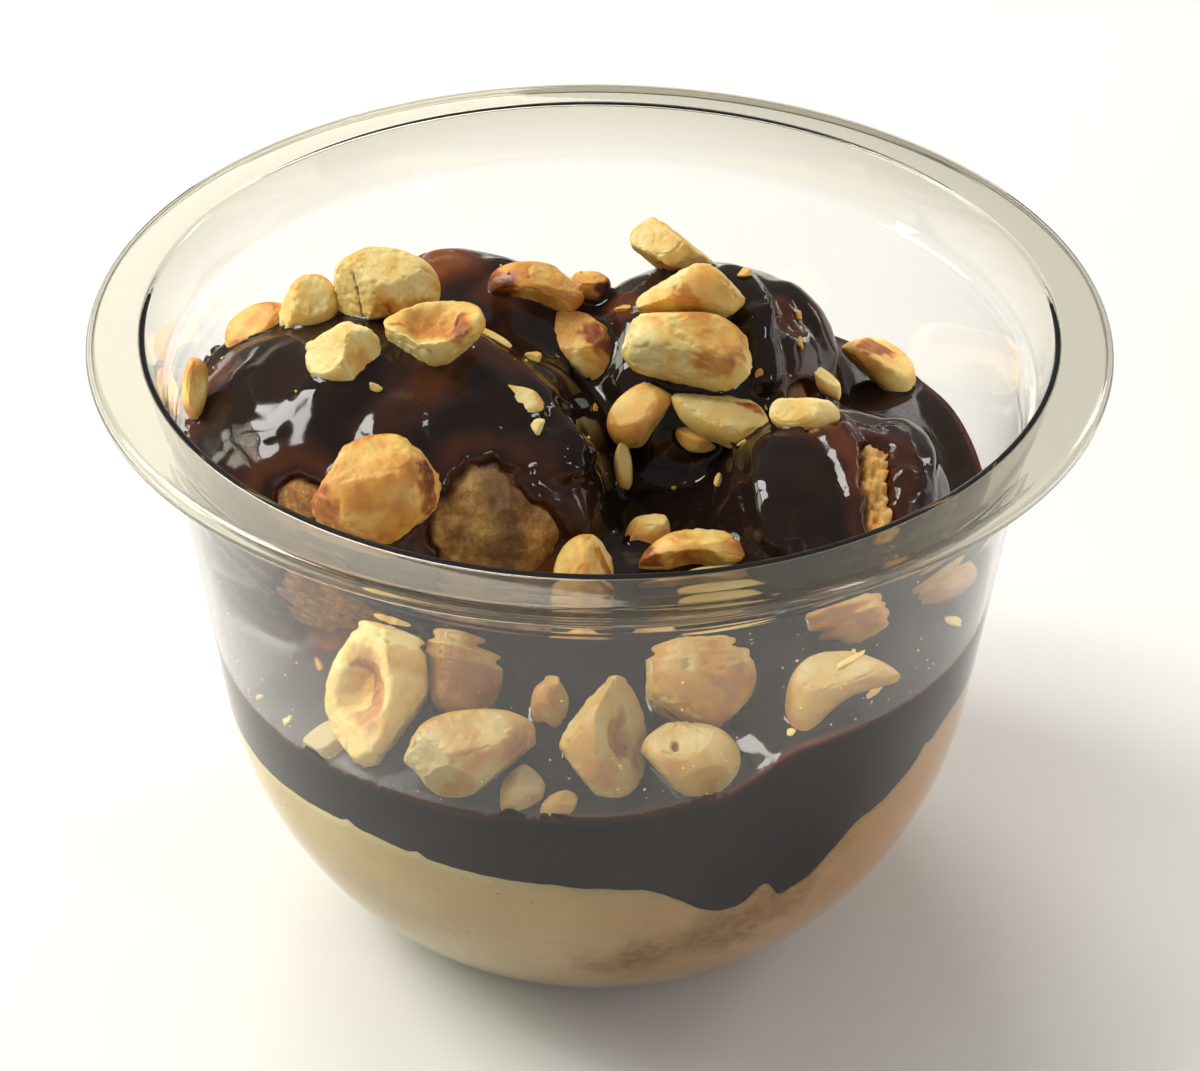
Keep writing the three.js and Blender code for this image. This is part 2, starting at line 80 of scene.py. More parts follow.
# Profiteroles: centre, half sizes and lumps (direction, share of the radius, width). Their chocolate: bare
# places where the crust shows (direction, radius), drips that stand proud (start, end, half width, height),
# rough places (direction, radius, height), thin reddish places (start, end, half width, strength) and thin
# smears over bare crust (start, end, half width). Widths and radii are in degrees about the centre.
PROFITEROLES = {
    "left": dict(
        at=(-19.5, 4, 44), half=(20.5, 20.5, 15),
        lumps=[((-0.85, 0.1, 0.5), 0.15, 35), ((0.8, -0.35, 0.3), 0.06, 28),
            ((-0.1, -0.8, 0.35), -0.07, 22), ((-0.55, -0.6, 0.45), 0.04, 25)],
        bare=[((-0.38, -0.78, 0.49), 8), ((-0.33, -0.9, 0.2), 8), ((-0.28, -0.94, -0.1), 13),
            ((-0.27, -0.93, -0.24), 12), ((0.42, -0.7, 0.56), 8), ((0.45, -0.8, 0.4), 14),
            ((0.58, -0.76, 0.2), 13), ((0.42, -0.9, 0.1), 10)],
        drips=[((-0.15, -0.05, 0.98), (-0.22, -0.3, 0.92), 12, 0.6),
            ((-0.8, 0.25, 0.55), (-0.97, -0.15, 0.2), 7, 0.6),
            ((0.02, -0.5, 0.86), (0.03, -0.97, 0.24), 9, 0.9),
            ((0.35, 0, 0.94), (0.74, -0.4, 0.54), 10, 0.9),
            ((0.74, -0.4, 0.54), (0.86, -0.5, 0.1), 9, 1.1)],
        rough=[((0.72, -0.33, 0.6), 15, 0.5), ((0.2, -0.12, 0.97), 9, 0.3), ((0.15, -0.4, 0.9), 12, 0.2)],
        thin=[((0.15, -0.3, 0.94), (0.2, -0.2, 0.96), 9, 0.55),
            ((0.5, -0.05, 0.86), (0.3, 0.05, 0.95), 8, 0.6),
            ((-0.75, 0, 0.66), (-0.88, -0.2, 0.4), 8, 0.6),
            ((0.5, -0.64, 0.58), (0.52, -0.84, 0.2), 4, 0.75),
            ((-0.1, -0.55, 0.83), (0.1, -0.45, 0.89), 6, 0.3)],
        smears=[((0.48, -0.62, 0.62), (0.55, -0.82, 0.15), 6)]),
    "back_left": dict(
        at=(-12.5, 19, 45), half=(14.5, 13.5, 12.8),
        lumps=[((-0.35, 0.2, 0.9), 0.14, 18), ((0.7, 0, 0.6), 0.05, 30)],
        bare=[],
        drips=[((0.2, 0.1, 0.97), (0.5, -0.6, 0.6), 10, 0.7)],
        rough=[((-0.35, 0.1, 0.93), 14, 0.35)],
        thin=[((-0.4, 0, 0.9), (-0.2, 0.1, 0.97), 16, 0.9),
            ((0.1, -0.2, 0.97), (0.4, -0.1, 0.9), 10, 0.5)]),
    "back_right": dict(
        at=(10.3, 17, 44.5), half=(14.5, 15, 14),
        lumps=[((0.6, 0.1, 0.7), 0.06, 25), ((-0.3, -0.3, 0.9), 0.03, 30), ((0.2, -0.7, 0.5), -0.05, 25)],
        bare=[((0.68, -0.58, 0.44), 4.5)],
        drips=[((0.2, 0.1, 0.97), (0.35, -0.33, 0.88), 9, 0.9),
            ((0.35, -0.33, 0.88), (0.42, -0.62, 0.66), 7, 0.9),
            ((0.6, 0.2, 0.77), (0.85, -0.1, 0.5), 9, 0.6)],
        rough=[((0.5, -0.2, 0.84), 12, 0.5), ((-0.5, -0.1, 0.86), 8, 0.5)],
        thin=[((0.52, -0.1, 0.84), (0.62, -0.2, 0.75), 8, 0.6),
            ((-0.5, -0.1, 0.86), (-0.55, 0, 0.83), 8, 0.7),
            ((0.75, 0.1, 0.65), (0.93, 0, 0.35), 8, 0.5)]),
    "right": dict(
        at=(22, -3, 43), half=(11.5, 13.5, 11),
        lumps=[((-0.6, -0.5, 0.5), 0.1, 28), ((0.75, -0.1, 0.5), 0.12, 26),
            ((0.1, -0.3, 0.9), -0.07, 18)],
        bare=[((-0.09, 0.19, 0.98), 8), ((0.33, -0.13, 0.93), 5), ((0.36, -0.3, 0.88), 7),
            ((0.36, -0.48, 0.8), 8), ((0.37, -0.63, 0.68), 7)],
        drips=[((0.04, 0, 1), (0.24, -0.5, 0.83), 10, 0.7),
            ((0.62, 0.2, 0.76), (0.62, -0.3, 0.72), 12, 1),
            ((-0.5, -0.1, 0.86), (-0.4, -0.7, 0.6), 12, 0.6)],
        rough=[((0.56, -0.3, 0.77), 9, 0.5)],
        thin=[((0.02, 0, 1), (0.27, -0.55, 0.79), 7, 0.75),
            ((0.2, 0.1, 0.97), (0.4, -0.1, 0.91), 5, 0.5)]),
}

# Hazelnut pieces, in the order of the nodes: centre, half sizes, turn, cuts (azimuth, elevation, share), tone
# from 0 (pale) to 1 (well roasted), then what only some have: bend, and the hollow (radius, depth) in the
# first cut. They are drawn facing the viewer, who looks down on them by LEAN degrees.
LEAN = 33.0
HAZELNUTS = [
    ((-21.3, 11.4, 60.9), (5.8, 4.1, 4), -6, [(180, 10, 0.8), (205, 48, 0.72), (-80, 5, 0.72),
     (80, 50, 0.8), (-25, 50, 0.74)], 0.25),
    ((-28.6, 10.6, 58.7), (2.9, 3.8, 3), -15, [(170, 30, 0.85), (-90, 20, 0.72), (60, 60, 0.8)], 0.3),
    ((-24.1, 0, 60.2), (3.8, 3.4, 3.2), 0, [(125, 5, 0.78), (-92, 5, 0.85), (5, 10, 0.85),
     (150, 50, 0.62), (5, 45, 0.62), (80, 20, 0.85)], 0.1),
    ((-16, 3, 61.2), (5.2, 3.6, 3.6), 15, [(100, 38, 0.3), (222, 35, 0.62), (-100, 5, 0.9),
     (-45, 10, 0.86), (-170, 5, 0.86)], 0.4, 0, (2.6, 1.6)),
    ((-33.5, 11, 56), (3.9, 2.8, 2.4), 28, [(-70, 5, 0.7), (120, 50, 0.7)], 0.75),
    ((-38.6, 0.5, 56.2), (1.2, 3.4, 1.7), -4, [(0, 60, 0.7)], 0.45),
    ((-6.3, 16.6, 58), (5, 2.7, 2.8), -8, [(-100, 30, 0.6), (60, 48, 0.8), (45, 8, 0.76)], 0.7),
    ((-0.9, 20.5, 55.9), (2.4, 1.8, 1.8), -15, [(90, 40, 0.7)], 0.65),
    ((-1.6, 12.8, 53.3), (5.3, 3.5, 2.8), -38, [(-128, 14, 0.72), (100, 52, 0.62), (-50, 10, 0.88),
     (36, 8, 0.82)], 0.55),
    ((4.3, 4.3, 50.8), (3.9, 3, 2.6), 42, [(-36, 12, 0.5), (-90, 15, 0.82), (130, 48, 0.72),
     (62, 5, 0.86)], 0.55),
    ((8.5, 6.7, 57.1), (6.8, 4.2, 4), -12, [(-103, 10, 0.74), (-112, 48, 0.76), (60, 50, 0.8),
     (12, 8, 0.9), (92, 8, 0.82), (155, 10, 0.88)], 0.2),
    ((9, 12.2, 59.9), (5.7, 3.2, 3), 8, [(-95, 25, 0.5), (150, 42, 0.75), (30, 30, 0.86), (45, 5, 0.74),
     (122, 8, 0.7)], 0.3),
    ((7.4, 22, 59.2), (4.9, 3.1, 2.4), -34, [(-125, 10, 0.62), (-60, 42, 0.62), (120, 55, 0.65),
     (53, 8, 0.56)], 0.3),
    ((12.6, 3.2, 51.6), (5.9, 2.8, 2.2), -22, [(85, 20, 0.5), (-90, 15, 0.88), (80, 62, 0.6),
     (36, 5, 0.78)], 0.15),
    ((9.5, 2.7, 49.3), (2.2, 1.3, 1.2), -25, [(90, 40, 0.6)], 0.5),
    ((29.3, 20.5, 46.8), (4.6, 2.4, 2.2), -38, [(60, 40, 0.65), (-30, 10, 0.9), (-135, 10, 0.72)], 0.4, 1.6),
    ((22.3, 11, 51), (3, 1.1, 1.1), -42, [(60, 40, 0.6)], 0.25),
    ((19.6, -0.4, 54.4), (3.4, 2, 1.6), -3, [(90, 12, 0.7), (-90, 5, 0.8), (120, 60, 0.6)], 0.2),
    ((-8, -2.1, 56.2), (3.5, 1.9, 1.1), -14, [(90, 62, 0.5), (180, 5, 0.8)], 0.25),
    ((2.4, 0.9, 47.2), (0.9, 2.9, 0.9), 6, [(20, 60, 0.6)], 0.4),
    # Piece 21's tone is its roast, darkened further as painted shade.
    ((-20.5, -13.7, 54.1), (6.4, 5.1, 4), 22, [(150, 5, 0.8), (-106, 8, 0.76), (100, 45, 0.8),
     (0, 30, 0.85), (-140, 35, 0.82), (40, 10, 0.84), (-50, 8, 0.92)], 0.62),
    ((-1.2, -14.3, 45.6), (2.9, 3.6, 2.6), -12, [(25, 30, 0.65), (150, 42, 0.78)], 0.45),
    ((4.9, -7.3, 45.3), (2.6, 1.8, 1.4), 22, [(90, 30, 0.7), (20, 30, 0.8)], 0.3),
    ((9.3, -11.7, 45.7), (5.6, 2.4, 2.4), 6, [(-90, 35, 0.35), (90, 20, 0.85)], 0.5, 1.2, (2.2, 0.8)),
    ((12.1, -14.8, 44.9), (4.8, 1.8, 1.6), 2, [(90, 50, 0.4)], 0.25),
    ((-10, 7.6, 57.3), (2.5, 0.7, 0.7), -35, [(60, 40, 0.6)], 0.35),
    ((-19.9, -26.9, 41.4), (4.8, 6.9, 4.2), -10, [(172, 50, 0.42), (-148, 8, 0.84), (60, 20, 0.9),
     (-33, 8, 0.79), (147, 5, 0.88)], 0.2, 0, (2.6, 1.8)),
    ((-24.3, -27.3, 35.5), (2.3, 2.2, 1.4), 0, [(120, 50, 0.6)], 0),
    ((-12, -25.4, 42.8), (3.7, 4.5, 3), 12, [(180, 30, 0.8), (48, 10, 0.62), (95, 10, 0.85)], 0.5),
    ((-11.2, -33.2, 39.8), (6.4, 3.9, 3.8), 12, [(160, 5, 0.86), (-50, 8, 0.7), (200, 48, 0.72),
     (100, 48, 0.8), (-136, 8, 0.8), (-10, 20, 0.88)], 0.32),
    ((-4.1, -28.6, 41.7), (1.7, 2.6, 1.5), -6, [(90, 10, 0.8), (0, 50, 0.7)], 0.35),
    ((0.9, -33.4, 41.5), (4.2, 5.8, 3.6), -6, [(15, 40, 0.42), (140, 8, 0.64), (5, 5, 0.88),
     (-142, 8, 0.74), (-100, 10, 0.86)], 0.34, 0, (1.6, 0.9)),
    ((9.2, -28, 44.1), (5.3, 4.6, 3.8), 0, [(-45, 5, 0.88), (178, 5, 0.88), (92, 10, 0.88),
     (80, 52, 0.86), (-120, 30, 0.86), (50, 8, 0.93)], 0.4),
    ((8.3, -34.8, 40.7), (4.5, 3.5, 3), -12, [(84, 8, 0.84), (-138, 8, 0.74), (100, 45, 0.8),
     (-40, 20, 0.9)], 0.3),
    ((20.8, -29.1, 43.7), (5.9, 2.5, 2.6), 36, [(100, 45, 0.8)], 0.3, 3.4),
    ((-6.5, -36, 37.6), (1.9, 2.8, 1.2), -25, [(60, 50, 0.6)], 0.3),
    ((-3, -36.9, 36.9), (1.9, 1.2, 0.9), 25, [(60, 50, 0.6)], 0.3),
    ((23, -18.6, 44.5), (4, 2.9, 2.4), -8, [(90, 30, 0.7), (-60, 10, 0.85)], 0.5),
    ((31.9, -12.1, 43.3), (4.2, 1.9, 1.8), 16, [(90, 50, 0.6)], 0.6),
    ((-26, 24, 49), (4.6, 3.6, 3.2), 30, [(-60, 30, 0.6), (110, 30, 0.8)], 0.35),
    ((-6, 31, 48.5), (4.9, 3.4, 3), -20, [(100, 20, 0.6), (-100, 20, 0.8)], 0.25),
    ((3, 34.5, 45.5), (3.4, 2.6, 2.2), 40, [(60, 40, 0.7)], 0.4),
    ((17, 31, 46.5), (4.4, 3, 2.6), 15, [(-90, 40, 0.6), (120, 10, 0.8)], 0.3),
]

# Marks on the side of single pieces that faces the viewer, in millimetres from the middle, x to the right and
# y up: kind, start, end and half width of each.
MARKS = {
    1: [("crack", (-2.65, 1.2), (-2.3, -0.2), 0.16), ("crack", (-2.3, -0.2), (-1.8, -3), 0.16),
         ("gold", (1.5, -2), (4, -1.6), 1)],
    3: [("gold", (1.6, -0.5), (2.4, -2), 1.2)],
    4: [("pit", (-3.5, 1.4), (-0.9, 1.3), 0.8), ("skin", (0.6, 1.8), (2.8, 0.6), 1.1),
         ("pale", (-3.2, -1.4), (0.4, -1.8), 1.4), ("pink", (1.4, 0.6), (2.6, -0.6), 0.8)],
    7: [("syrup", (-4.1, 0.2), (-3.4, -0.2), 1.5)],
    8: [("skin", (1.2, -0.2), (1.6, -0.9), 0.8)],
    9: [("skin", (0.9, 1.7), (2.8, 0.2), 1.2), ("pale", (-0.8, -1.4), (1.6, -2.6), 0.7)],
    11: [("gold", (0.4, 2.6), (4.6, 0.6), 1.9), ("gold", (1.4, -1.2), (3.4, -1.6), 1.2),
         ("pale", (-4.4, 0.4), (-4, -0.6), 2)],
    12: [("gold", (-1.2, 0.2), (0.2, -2), 1.2)],
    13: [("skin", (-1.9, -1.9), (0.4, -2.6), 0.9)],
    14: [("skin", (1, 1.7), (3.4, 0.7), 0.5)],
    16: [("skin", (-1.4, 2.2), (0.6, 2.3), 1.1)],
    21: [("syrup", (5.2, 2.4), (5.5, -2.6), 1), ("gold", (-5.2, -0.4), (-4.2, -2.2), 1.4)],
    22: [("syrup", (1.9, 2.2), (2.5, -0.4), 0.8)],
    24: [("syrup", (-4.9, 0.2), (-4.2, -1.2), 1.1)],
    27: [("pink", (-1, 2.8), (-0.4, -2.2), 1.5)],
    29: [("pink", (-1, 0.6), (2.4, -1.6), 1.8)],
    # On 30 the gold mark at its right side is painted shade.
    30: [("gold", (4.4, 0.8), (4.9, -0.2), 1.2), ("pale", (-4.8, -0.2), (-3.6, -2), 1.1)],
    32: [("pink", (1.7, 2.6), (1.4, -0.8), 0.7), ("gold", (3.2, 2.8), (3.2, -1.8), 0.9)],
    33: [("crack", (-3.2, -2.6), (-1.6, -3.8), 0.16), ("gold", (1, 2), (3.4, -0.4), 1.6)],
    34: [("hole", (-1.4, 1.35), (-1.4, 1.3), 0.3)],
    38: [("gold", (-1.5, 0.5), (1.5, 0), 1.2)],
}
MARK_KINDS = {  # how much each kind roasts, wets, reddens and sinks the surface
    "skin": (0.50, 0.15, 0.0, 0.05), "gold": (0.27, 0.0, 0.0, 0.0), "pale": (-0.18, 0.0, 0.0, 0.0),
    "syrup": (0.42, 1.0, 0.0, 0.0), "pink": (0.12, 0.0, 0.8, 0.10), "crack": (0.10, 0.0, 0.0, 0.10),
    "hole": (0.6, 0.0, 0.0, 0.45), "pit": (0.60, 0.0, 0.2, 0.30),
}


# ---- small tools ----
CORNERS = np.array([(i, j, k) for i in (0, 1) for j in (0, 1) for k in (0, 1)])


def smoothstep(low, high, x):
    t = np.clip((x - low) / (high - low), 0, 1)
    return t * t * (3 - 2 * t)


def unit(v):
    v = np.asarray(v, float)
    return v / np.linalg.norm(v, axis=-1, keepdims=True)


def radius_of(points):
    """Distance of each point from the cup's axis."""
    return np.hypot(points[:, 0], points[:, 1])


def blend_min(a, b, width):
    """The lower of two fields, with the corner between them rounded over a width."""
    h = np.clip(width - np.abs(a - b), 0, None) / width
    return np.minimum(a, b) - h * h * width / 4


def bumps(points, size, seed):
    """Smooth noise of about -1 to 1 whose bumps are about size across."""
    rng = np.random.default_rng(seed)
    slopes = unit(rng.normal(size=(256, 3))).T
    order = rng.permutation(256)
    scaled = (np.asarray(points) / size + rng.uniform(0, 50, 3)).T
    cell = np.floor(scaled).astype(int)
    t = scaled - cell
    fade = t * t * t * (t * (t * 6 - 15) + 10)
    weight = (1 - fade, fade)
    total = np.zeros(len(points))
    for a, b, c in CORNERS:
        slope = slopes[:, order[(order[(order[cell[0] + a & 255] + cell[1] + b) & 255] + cell[2] + c) & 255]]
        dot = (t[0] - a) * slope[0] + (t[1] - b) * slope[1] + (t[2] - c) * slope[2]
        total += weight[a][0] * weight[b][1] * weight[c][2] * dot
    return 1.7 * total


def grain(points, size, octaves, seed):
    """Bumps with finer bumps on them."""
    return sum(0.55 ** n * bumps(points, size / 2.1 ** n, seed + n) for n in range(octaves))


def make(name, points, faces, material, smooth=True, **fields):
    """A mesh object from points in millimetres, with a number for each point in each named attribute."""
    mesh = bpy.data.meshes.new(name)
    mesh.from_pydata((np.asarray(points) * MM).tolist(), [], [list(f) for f in faces])
    mesh.update()
    for key, values in fields.items():
        mesh.attributes.new(key, "FLOAT", "POINT").data.foreach_set("value", np.asarray(values, np.float32))
    if smooth:
        mesh.shade_smooth()
    mesh.materials.append(material)
    obj = bpy.data.objects.new(name, mesh)
    bpy.context.scene.collection.objects.link(obj)
    return obj


def place(obj, slot, *nodes):
    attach(obj, "root")
    if nodes:
        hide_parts(*nodes)
    return obj


# ---- materials ----
class Nodes:
    """Builds one material's nodes."""

    def __init__(self, name):
        self.material = bpy.data.materials.new(name)
        self.material.use_nodes = True
        self.tree = self.material.node_tree
        self.shader = self.tree.nodes["Principled BSDF"]
        self.where = self.add("ShaderNodeTexCoord").outputs["Object"]

    def add(self, kind, **inputs):
        node = self.tree.nodes.new(kind)
        for key, value in inputs.items():
            self.put(node.inputs[key.replace("_", " ")], value)
        return node

    def put(self, socket, value):
        if isinstance(value, bpy.types.NodeSocket):
            self.tree.links.new(value, socket)
        else:
            socket.default_value = value

    def field(self, name):
        node = self.add("ShaderNodeAttribute")
        node.attribute_name = name
        return node.outputs["Fac"]

    def noise(self, size, detail=3.0, roughness=0.55):
        """Noise whose bumps are about size millimetres across."""
        node = self.add("ShaderNodeTexNoise", Vector=self.where, Scale=1 / (size * MM * 2), Detail=detail,
                        Roughness=roughness)
        return node.outputs["Fac"]

    def combined(self, operation, *values):
        node = self.add("ShaderNodeMath")
        node.operation = operation
        for socket, value in zip(node.inputs, values):
            self.put(socket, value)
        return node.outputs[0]

    def plus(self, a, b):
        return self.combined("ADD", a, b)

    def times(self, a, b):
        return self.combined("MULTIPLY", a, b)

    def spread(self, value, low, high, to_low=0.0, to_high=1.0):
        node = self.add("ShaderNodeMapRange", Value=value)
        node.interpolation_type = "SMOOTHSTEP"
        for key, number in (("From Min", low), ("From Max", high), ("To Min", to_low), ("To Max", to_high)):
            node.inputs[key].default_value = number
        return node.outputs[0]

    def mix(self, share, a, b):
        """Colour a, turned into colour b by a share."""
        node = self.add("ShaderNodeMix")
        node.data_type = "RGBA"
        sockets = {s.identifier: s for s in node.inputs}
        self.put(sockets["Factor_Float"], share)
        self.put(sockets["A_Color"], a)
        self.put(sockets["B_Color"], b)
        return next(s for s in node.outputs if s.identifier == "Result_Color")

    def ramp(self, value, *stops):
        node = self.add("ShaderNodeValToRGB", Fac=value)
        elements = node.color_ramp.elements
        while len(elements) < len(stops):
            elements.new(0.5)
        for element, (position, colour) in zip(elements, stops):
            element.position = position
            element.color = tint(*colour)
        return node.outputs["Color"]

    def bump(self, height, distance, strength):
        node = self.add("ShaderNodeBump", Height=height, Distance=distance * MM, Strength=strength)
        self.tree.links.new(node.outputs[0], self.shader.inputs["Normal"])

    def finish(self, **inputs):
        for key, value in inputs.items():
            self.put(self.shader.inputs[key.replace("_", " ")], value)
        return self.material


def tint(red, green, blue):
    """A colour given as it looks on a screen, 0 to 255, for a node."""
    screen = np.array([red, green, blue]) / 255
    light = np.where(screen <= 0.04045, screen / 12.92, ((screen + 0.055) / 1.055) ** 2.4)
    return (*light.tolist(), 1.0)


def clear_plastic():
    n = Nodes("clear_plastic")
    haze = n.spread(n.noise(9, 2), 0.35, 0.75, 0.015, 0.05)
    tone = n.mix(n.field("rim"), tint(252, 251, 249), tint(216, 212, 198))
    return n.finish(Base_Color=tone, Roughness=haze, IOR=1.48, Transmission_Weight=1.0)


def no_gloss_at_wall(n):
    """No air lies between a layer and the wall that it wets, so it has no gloss of its own there."""
    return n.spread(n.field("wall"), 0, 1, 0.5, 0.0)


def cream_stuff():
    n = Nodes("cream")
    clouds = n.spread(n.noise(7), 0.35, 0.7)
    base = n.mix(clouds, tint(232, 213, 160), tint(220, 196, 142))
    base = n.mix(n.field("tan"), base, n.mix(clouds, tint(205, 158, 104), tint(196, 146, 92)))
    edge = n.plus(n.field("stain"), n.spread(n.noise(2.2, 5, 0.7), 0.3, 0.7, -0.35, 0.35))
    stain = n.times(n.spread(edge, 0.1, 1.1), n.spread(n.noise(0.6, 5, 0.75), 0.3, 0.7, 0.45, 1.0))
    base = n.mix(stain, base, tint(150, 104, 54))
    flecks = n.spread(n.noise(0.35, 2, 0.5), 0.71, 0.76)
    base = n.mix(n.times(flecks, 0.55), base, tint(112, 80, 46))
    n.bump(n.noise(1.6), 0.05, 0.4)
    n.put(n.shader.inputs["Subsurface Radius"], (0.004, 0.0022, 0.001))
    return n.finish(Base_Color=base, Roughness=0.42, Specular_IOR_Level=no_gloss_at_wall(n),
                    Subsurface_Weight=0.25, Subsurface_Scale=0.5)


def chocolate_stuff():
    n = Nodes("chocolate")
    thin = n.plus(n.field("thin"), n.spread(n.noise(3.5, 2, 0.5), 0.4, 0.8, -0.06, 0.16))
    base = n.ramp(thin, (0, (32, 21, 17)), (0.4, (60, 33, 23)), (0.7, (88, 46, 27)), (1, (140, 82, 44)))
    rough = n.plus(n.spread(n.noise(2.2), 0.3, 0.75, 0.04, 0.13), n.times(n.field("dull"), 0.25))
    n.bump(n.times(n.noise(1.1), n.spread(n.field("wall"), 0, 0.5, 1.0, 0.0)), 0.03, 0.3)
    return n.finish(Base_Color=base, Roughness=rough, IOR=1.42, Specular_IOR_Level=no_gloss_at_wall(n))


def choux_stuff():
    n = Nodes("choux")
    crumb = n.plus(n.times(n.noise(0.5, 6, 0.75), 0.6), n.times(n.noise(3), 0.45))
    base = n.ramp(crumb, (0.36, (98, 60, 26)), (0.5, (176, 122, 58)), (0.64, (230, 182, 104)))
    torn = n.ramp(crumb, (0.36, (176, 98, 34)), (0.48, (232, 158, 70)), (0.6, (252, 208, 124)))
    base = n.mix(n.field("torn"), base, torn)
    base = n.mix(n.field("wet"), base, tint(62, 32, 19))
    n.bump(n.noise(0.3, 6, 0.8), 0.3, 0.9)
    rough = n.spread(n.field("wet"), 0.2, 0.9, 0.6, 0.2)
    return n.finish(Base_Color=base, Roughness=rough)


def hazelnut_stuff():
    n = Nodes("hazelnut")
    cloud = n.spread(n.noise(1.5, 4, 0.6), 0.25, 0.75, -0.09, 0.11)
    toast_and_shade = n.plus(n.field("toast_and_shade"), cloud)
    base = n.ramp(toast_and_shade, (0, (245, 226, 160)), (0.2, (238, 200, 112)), (0.4, (220, 157, 72)),
                  (0.6, (184, 112, 48)), (0.82, (122, 62, 26)), (1, (74, 32, 16)))
    base = n.mix(n.times(n.field("pink"), 0.75), base, tint(170, 112, 78))
    ragged = n.plus(n.field("crack"), n.spread(n.noise(0.25, 2), 0.3, 0.7, -0.05, 0.05))
    crack = n.spread(ragged, 0.04, 0.13, 0.85, 0.0)
    base = n.mix(crack, base, tint(112, 66, 30))
    # painted shade: the pieces at the wall are darkened towards this brown
    base = n.mix(n.field("painted_wall_shade"), base, tint(120, 92, 58))
    speck = n.spread(n.noise(0.22, 2), 0.68, 0.75)
    base = n.mix(n.times(speck, 0.3), base, tint(150, 96, 48))
    crumb = n.times(n.noise(0.30, 5, 0.75), n.spread(n.field("cut"), 0, 1, 0.45, 1.0))
    n.bump(crumb, 0.15, 0.9)
    n.put(n.shader.inputs["Subsurface Radius"], (0.0022, 0.0012, 0.0005))
    rough = n.spread(n.field("glaze"), 0.1, 0.7, 0.42, 0.08)
    return n.finish(Base_Color=base, Roughness=rough, Subsurface_Weight=0.10, Subsurface_Scale=0.5)


def floor_stuff():
    n = Nodes("pale_floor")
    shade = n.mix(n.noise(40), (0.88, 0.88, 0.88, 1), (0.90, 0.90, 0.90, 1))
    return n.finish(Base_Color=shade, Roughness=0.9)


# ---- cup ----
TAPER = math.radians(BODY_TAPER)
# Radius and height where the straight wall meets the bowl.
MEET = (BOWL_AXIS + BOWL_RADIUS * math.cos(TAPER), BOWL_HEIGHT - BOWL_RADIUS * math.sin(TAPER))


def wall_radius(z, inset=0.0):
    """Radius at a height of the surface that lies inset inside the body's outer surface."""
    share = (z - MEET[1]) / (LEDGE_HEIGHT - WALL - MEET[1])
    straight = MEET[0] + share * (BODY_RADIUS - MEET[0]) - inset / math.cos(TAPER)
    arc = BOWL_AXIS + np.sqrt(np.clip((BOWL_RADIUS - inset) ** 2 - (BOWL_HEIGHT - z) ** 2, 0, None))
    return np.where(z > MEET[1], straight, arc)


def keep_inside(points, inset):
    """Moves points that lie past the surface at this inset onto it."""
    limit = wall_radius(points[:, 2], inset) / np.maximum(radius_of(points), 1e-6)
    points[:, :2] *= np.minimum(1, limit)[:, None]
    return points


NEARLY_STRAIGHT = math.radians(88)  # half the angle at a corner
ARC_STEP = 0.18


def rounded(corners):
    """Points of an open line through (radius, height, corner radius) corners, each turned into an arc."""
    line = [corners[0][:2]]
    for before, (x, y, radius), after in zip(corners, corners[1:-1], corners[2:]):
        here = np.array([x, y])
        a, b = unit(np.array(before[:2]) - here), unit(np.array(after[:2]) - here)
        half = math.acos(max(-1, min(1, float(a @ b)))) / 2
        if radius == 0 or half > NEARLY_STRAIGHT:
            line.append((x, y))
            continue
        run = radius / math.tan(half)
        middle = here + unit(a + b) * radius / math.sin(half)
        start, end = here + a * run - middle, here + b * run - middle
        turn = math.pi - 2 * half
        steps = max(3, math.ceil(radius * turn / ARC_STEP))
        for i in range(steps + 1):
            t = i / steps * turn
            spoke = (start * math.sin(turn - t) + end * math.sin(t)) / math.sin(turn)
            line.append(tuple(middle + spoke))
    line.append(corners[-1][:2])
    return line


GROOVES = [(57.6, 0.014), (55.9, 0.022), (54.2, 0.012)]  # height and depth of each fine groove
GROOVE_HALF = 0.85
GROOVES_FROM = 51.9
WALL_STEP = 1.1
GROOVE_STEP = 0.15
CUP_AROUND = 180


def body_line(inset, low, high, step=WALL_STEP, grooves=()):
    """Body profile from height low up to high, with fine grooves in it."""
    z = np.linspace(low, high, round((high - low) / step) + 1)
    r = wall_radius(z, inset)
    for at, depth in grooves:
        r = r - depth * np.cos(np.clip((z - at) / GROOVE_HALF, -1, 1) * math.pi / 2) ** 2
    return [(float(a), float(b)) for a, b in zip(r, z)]


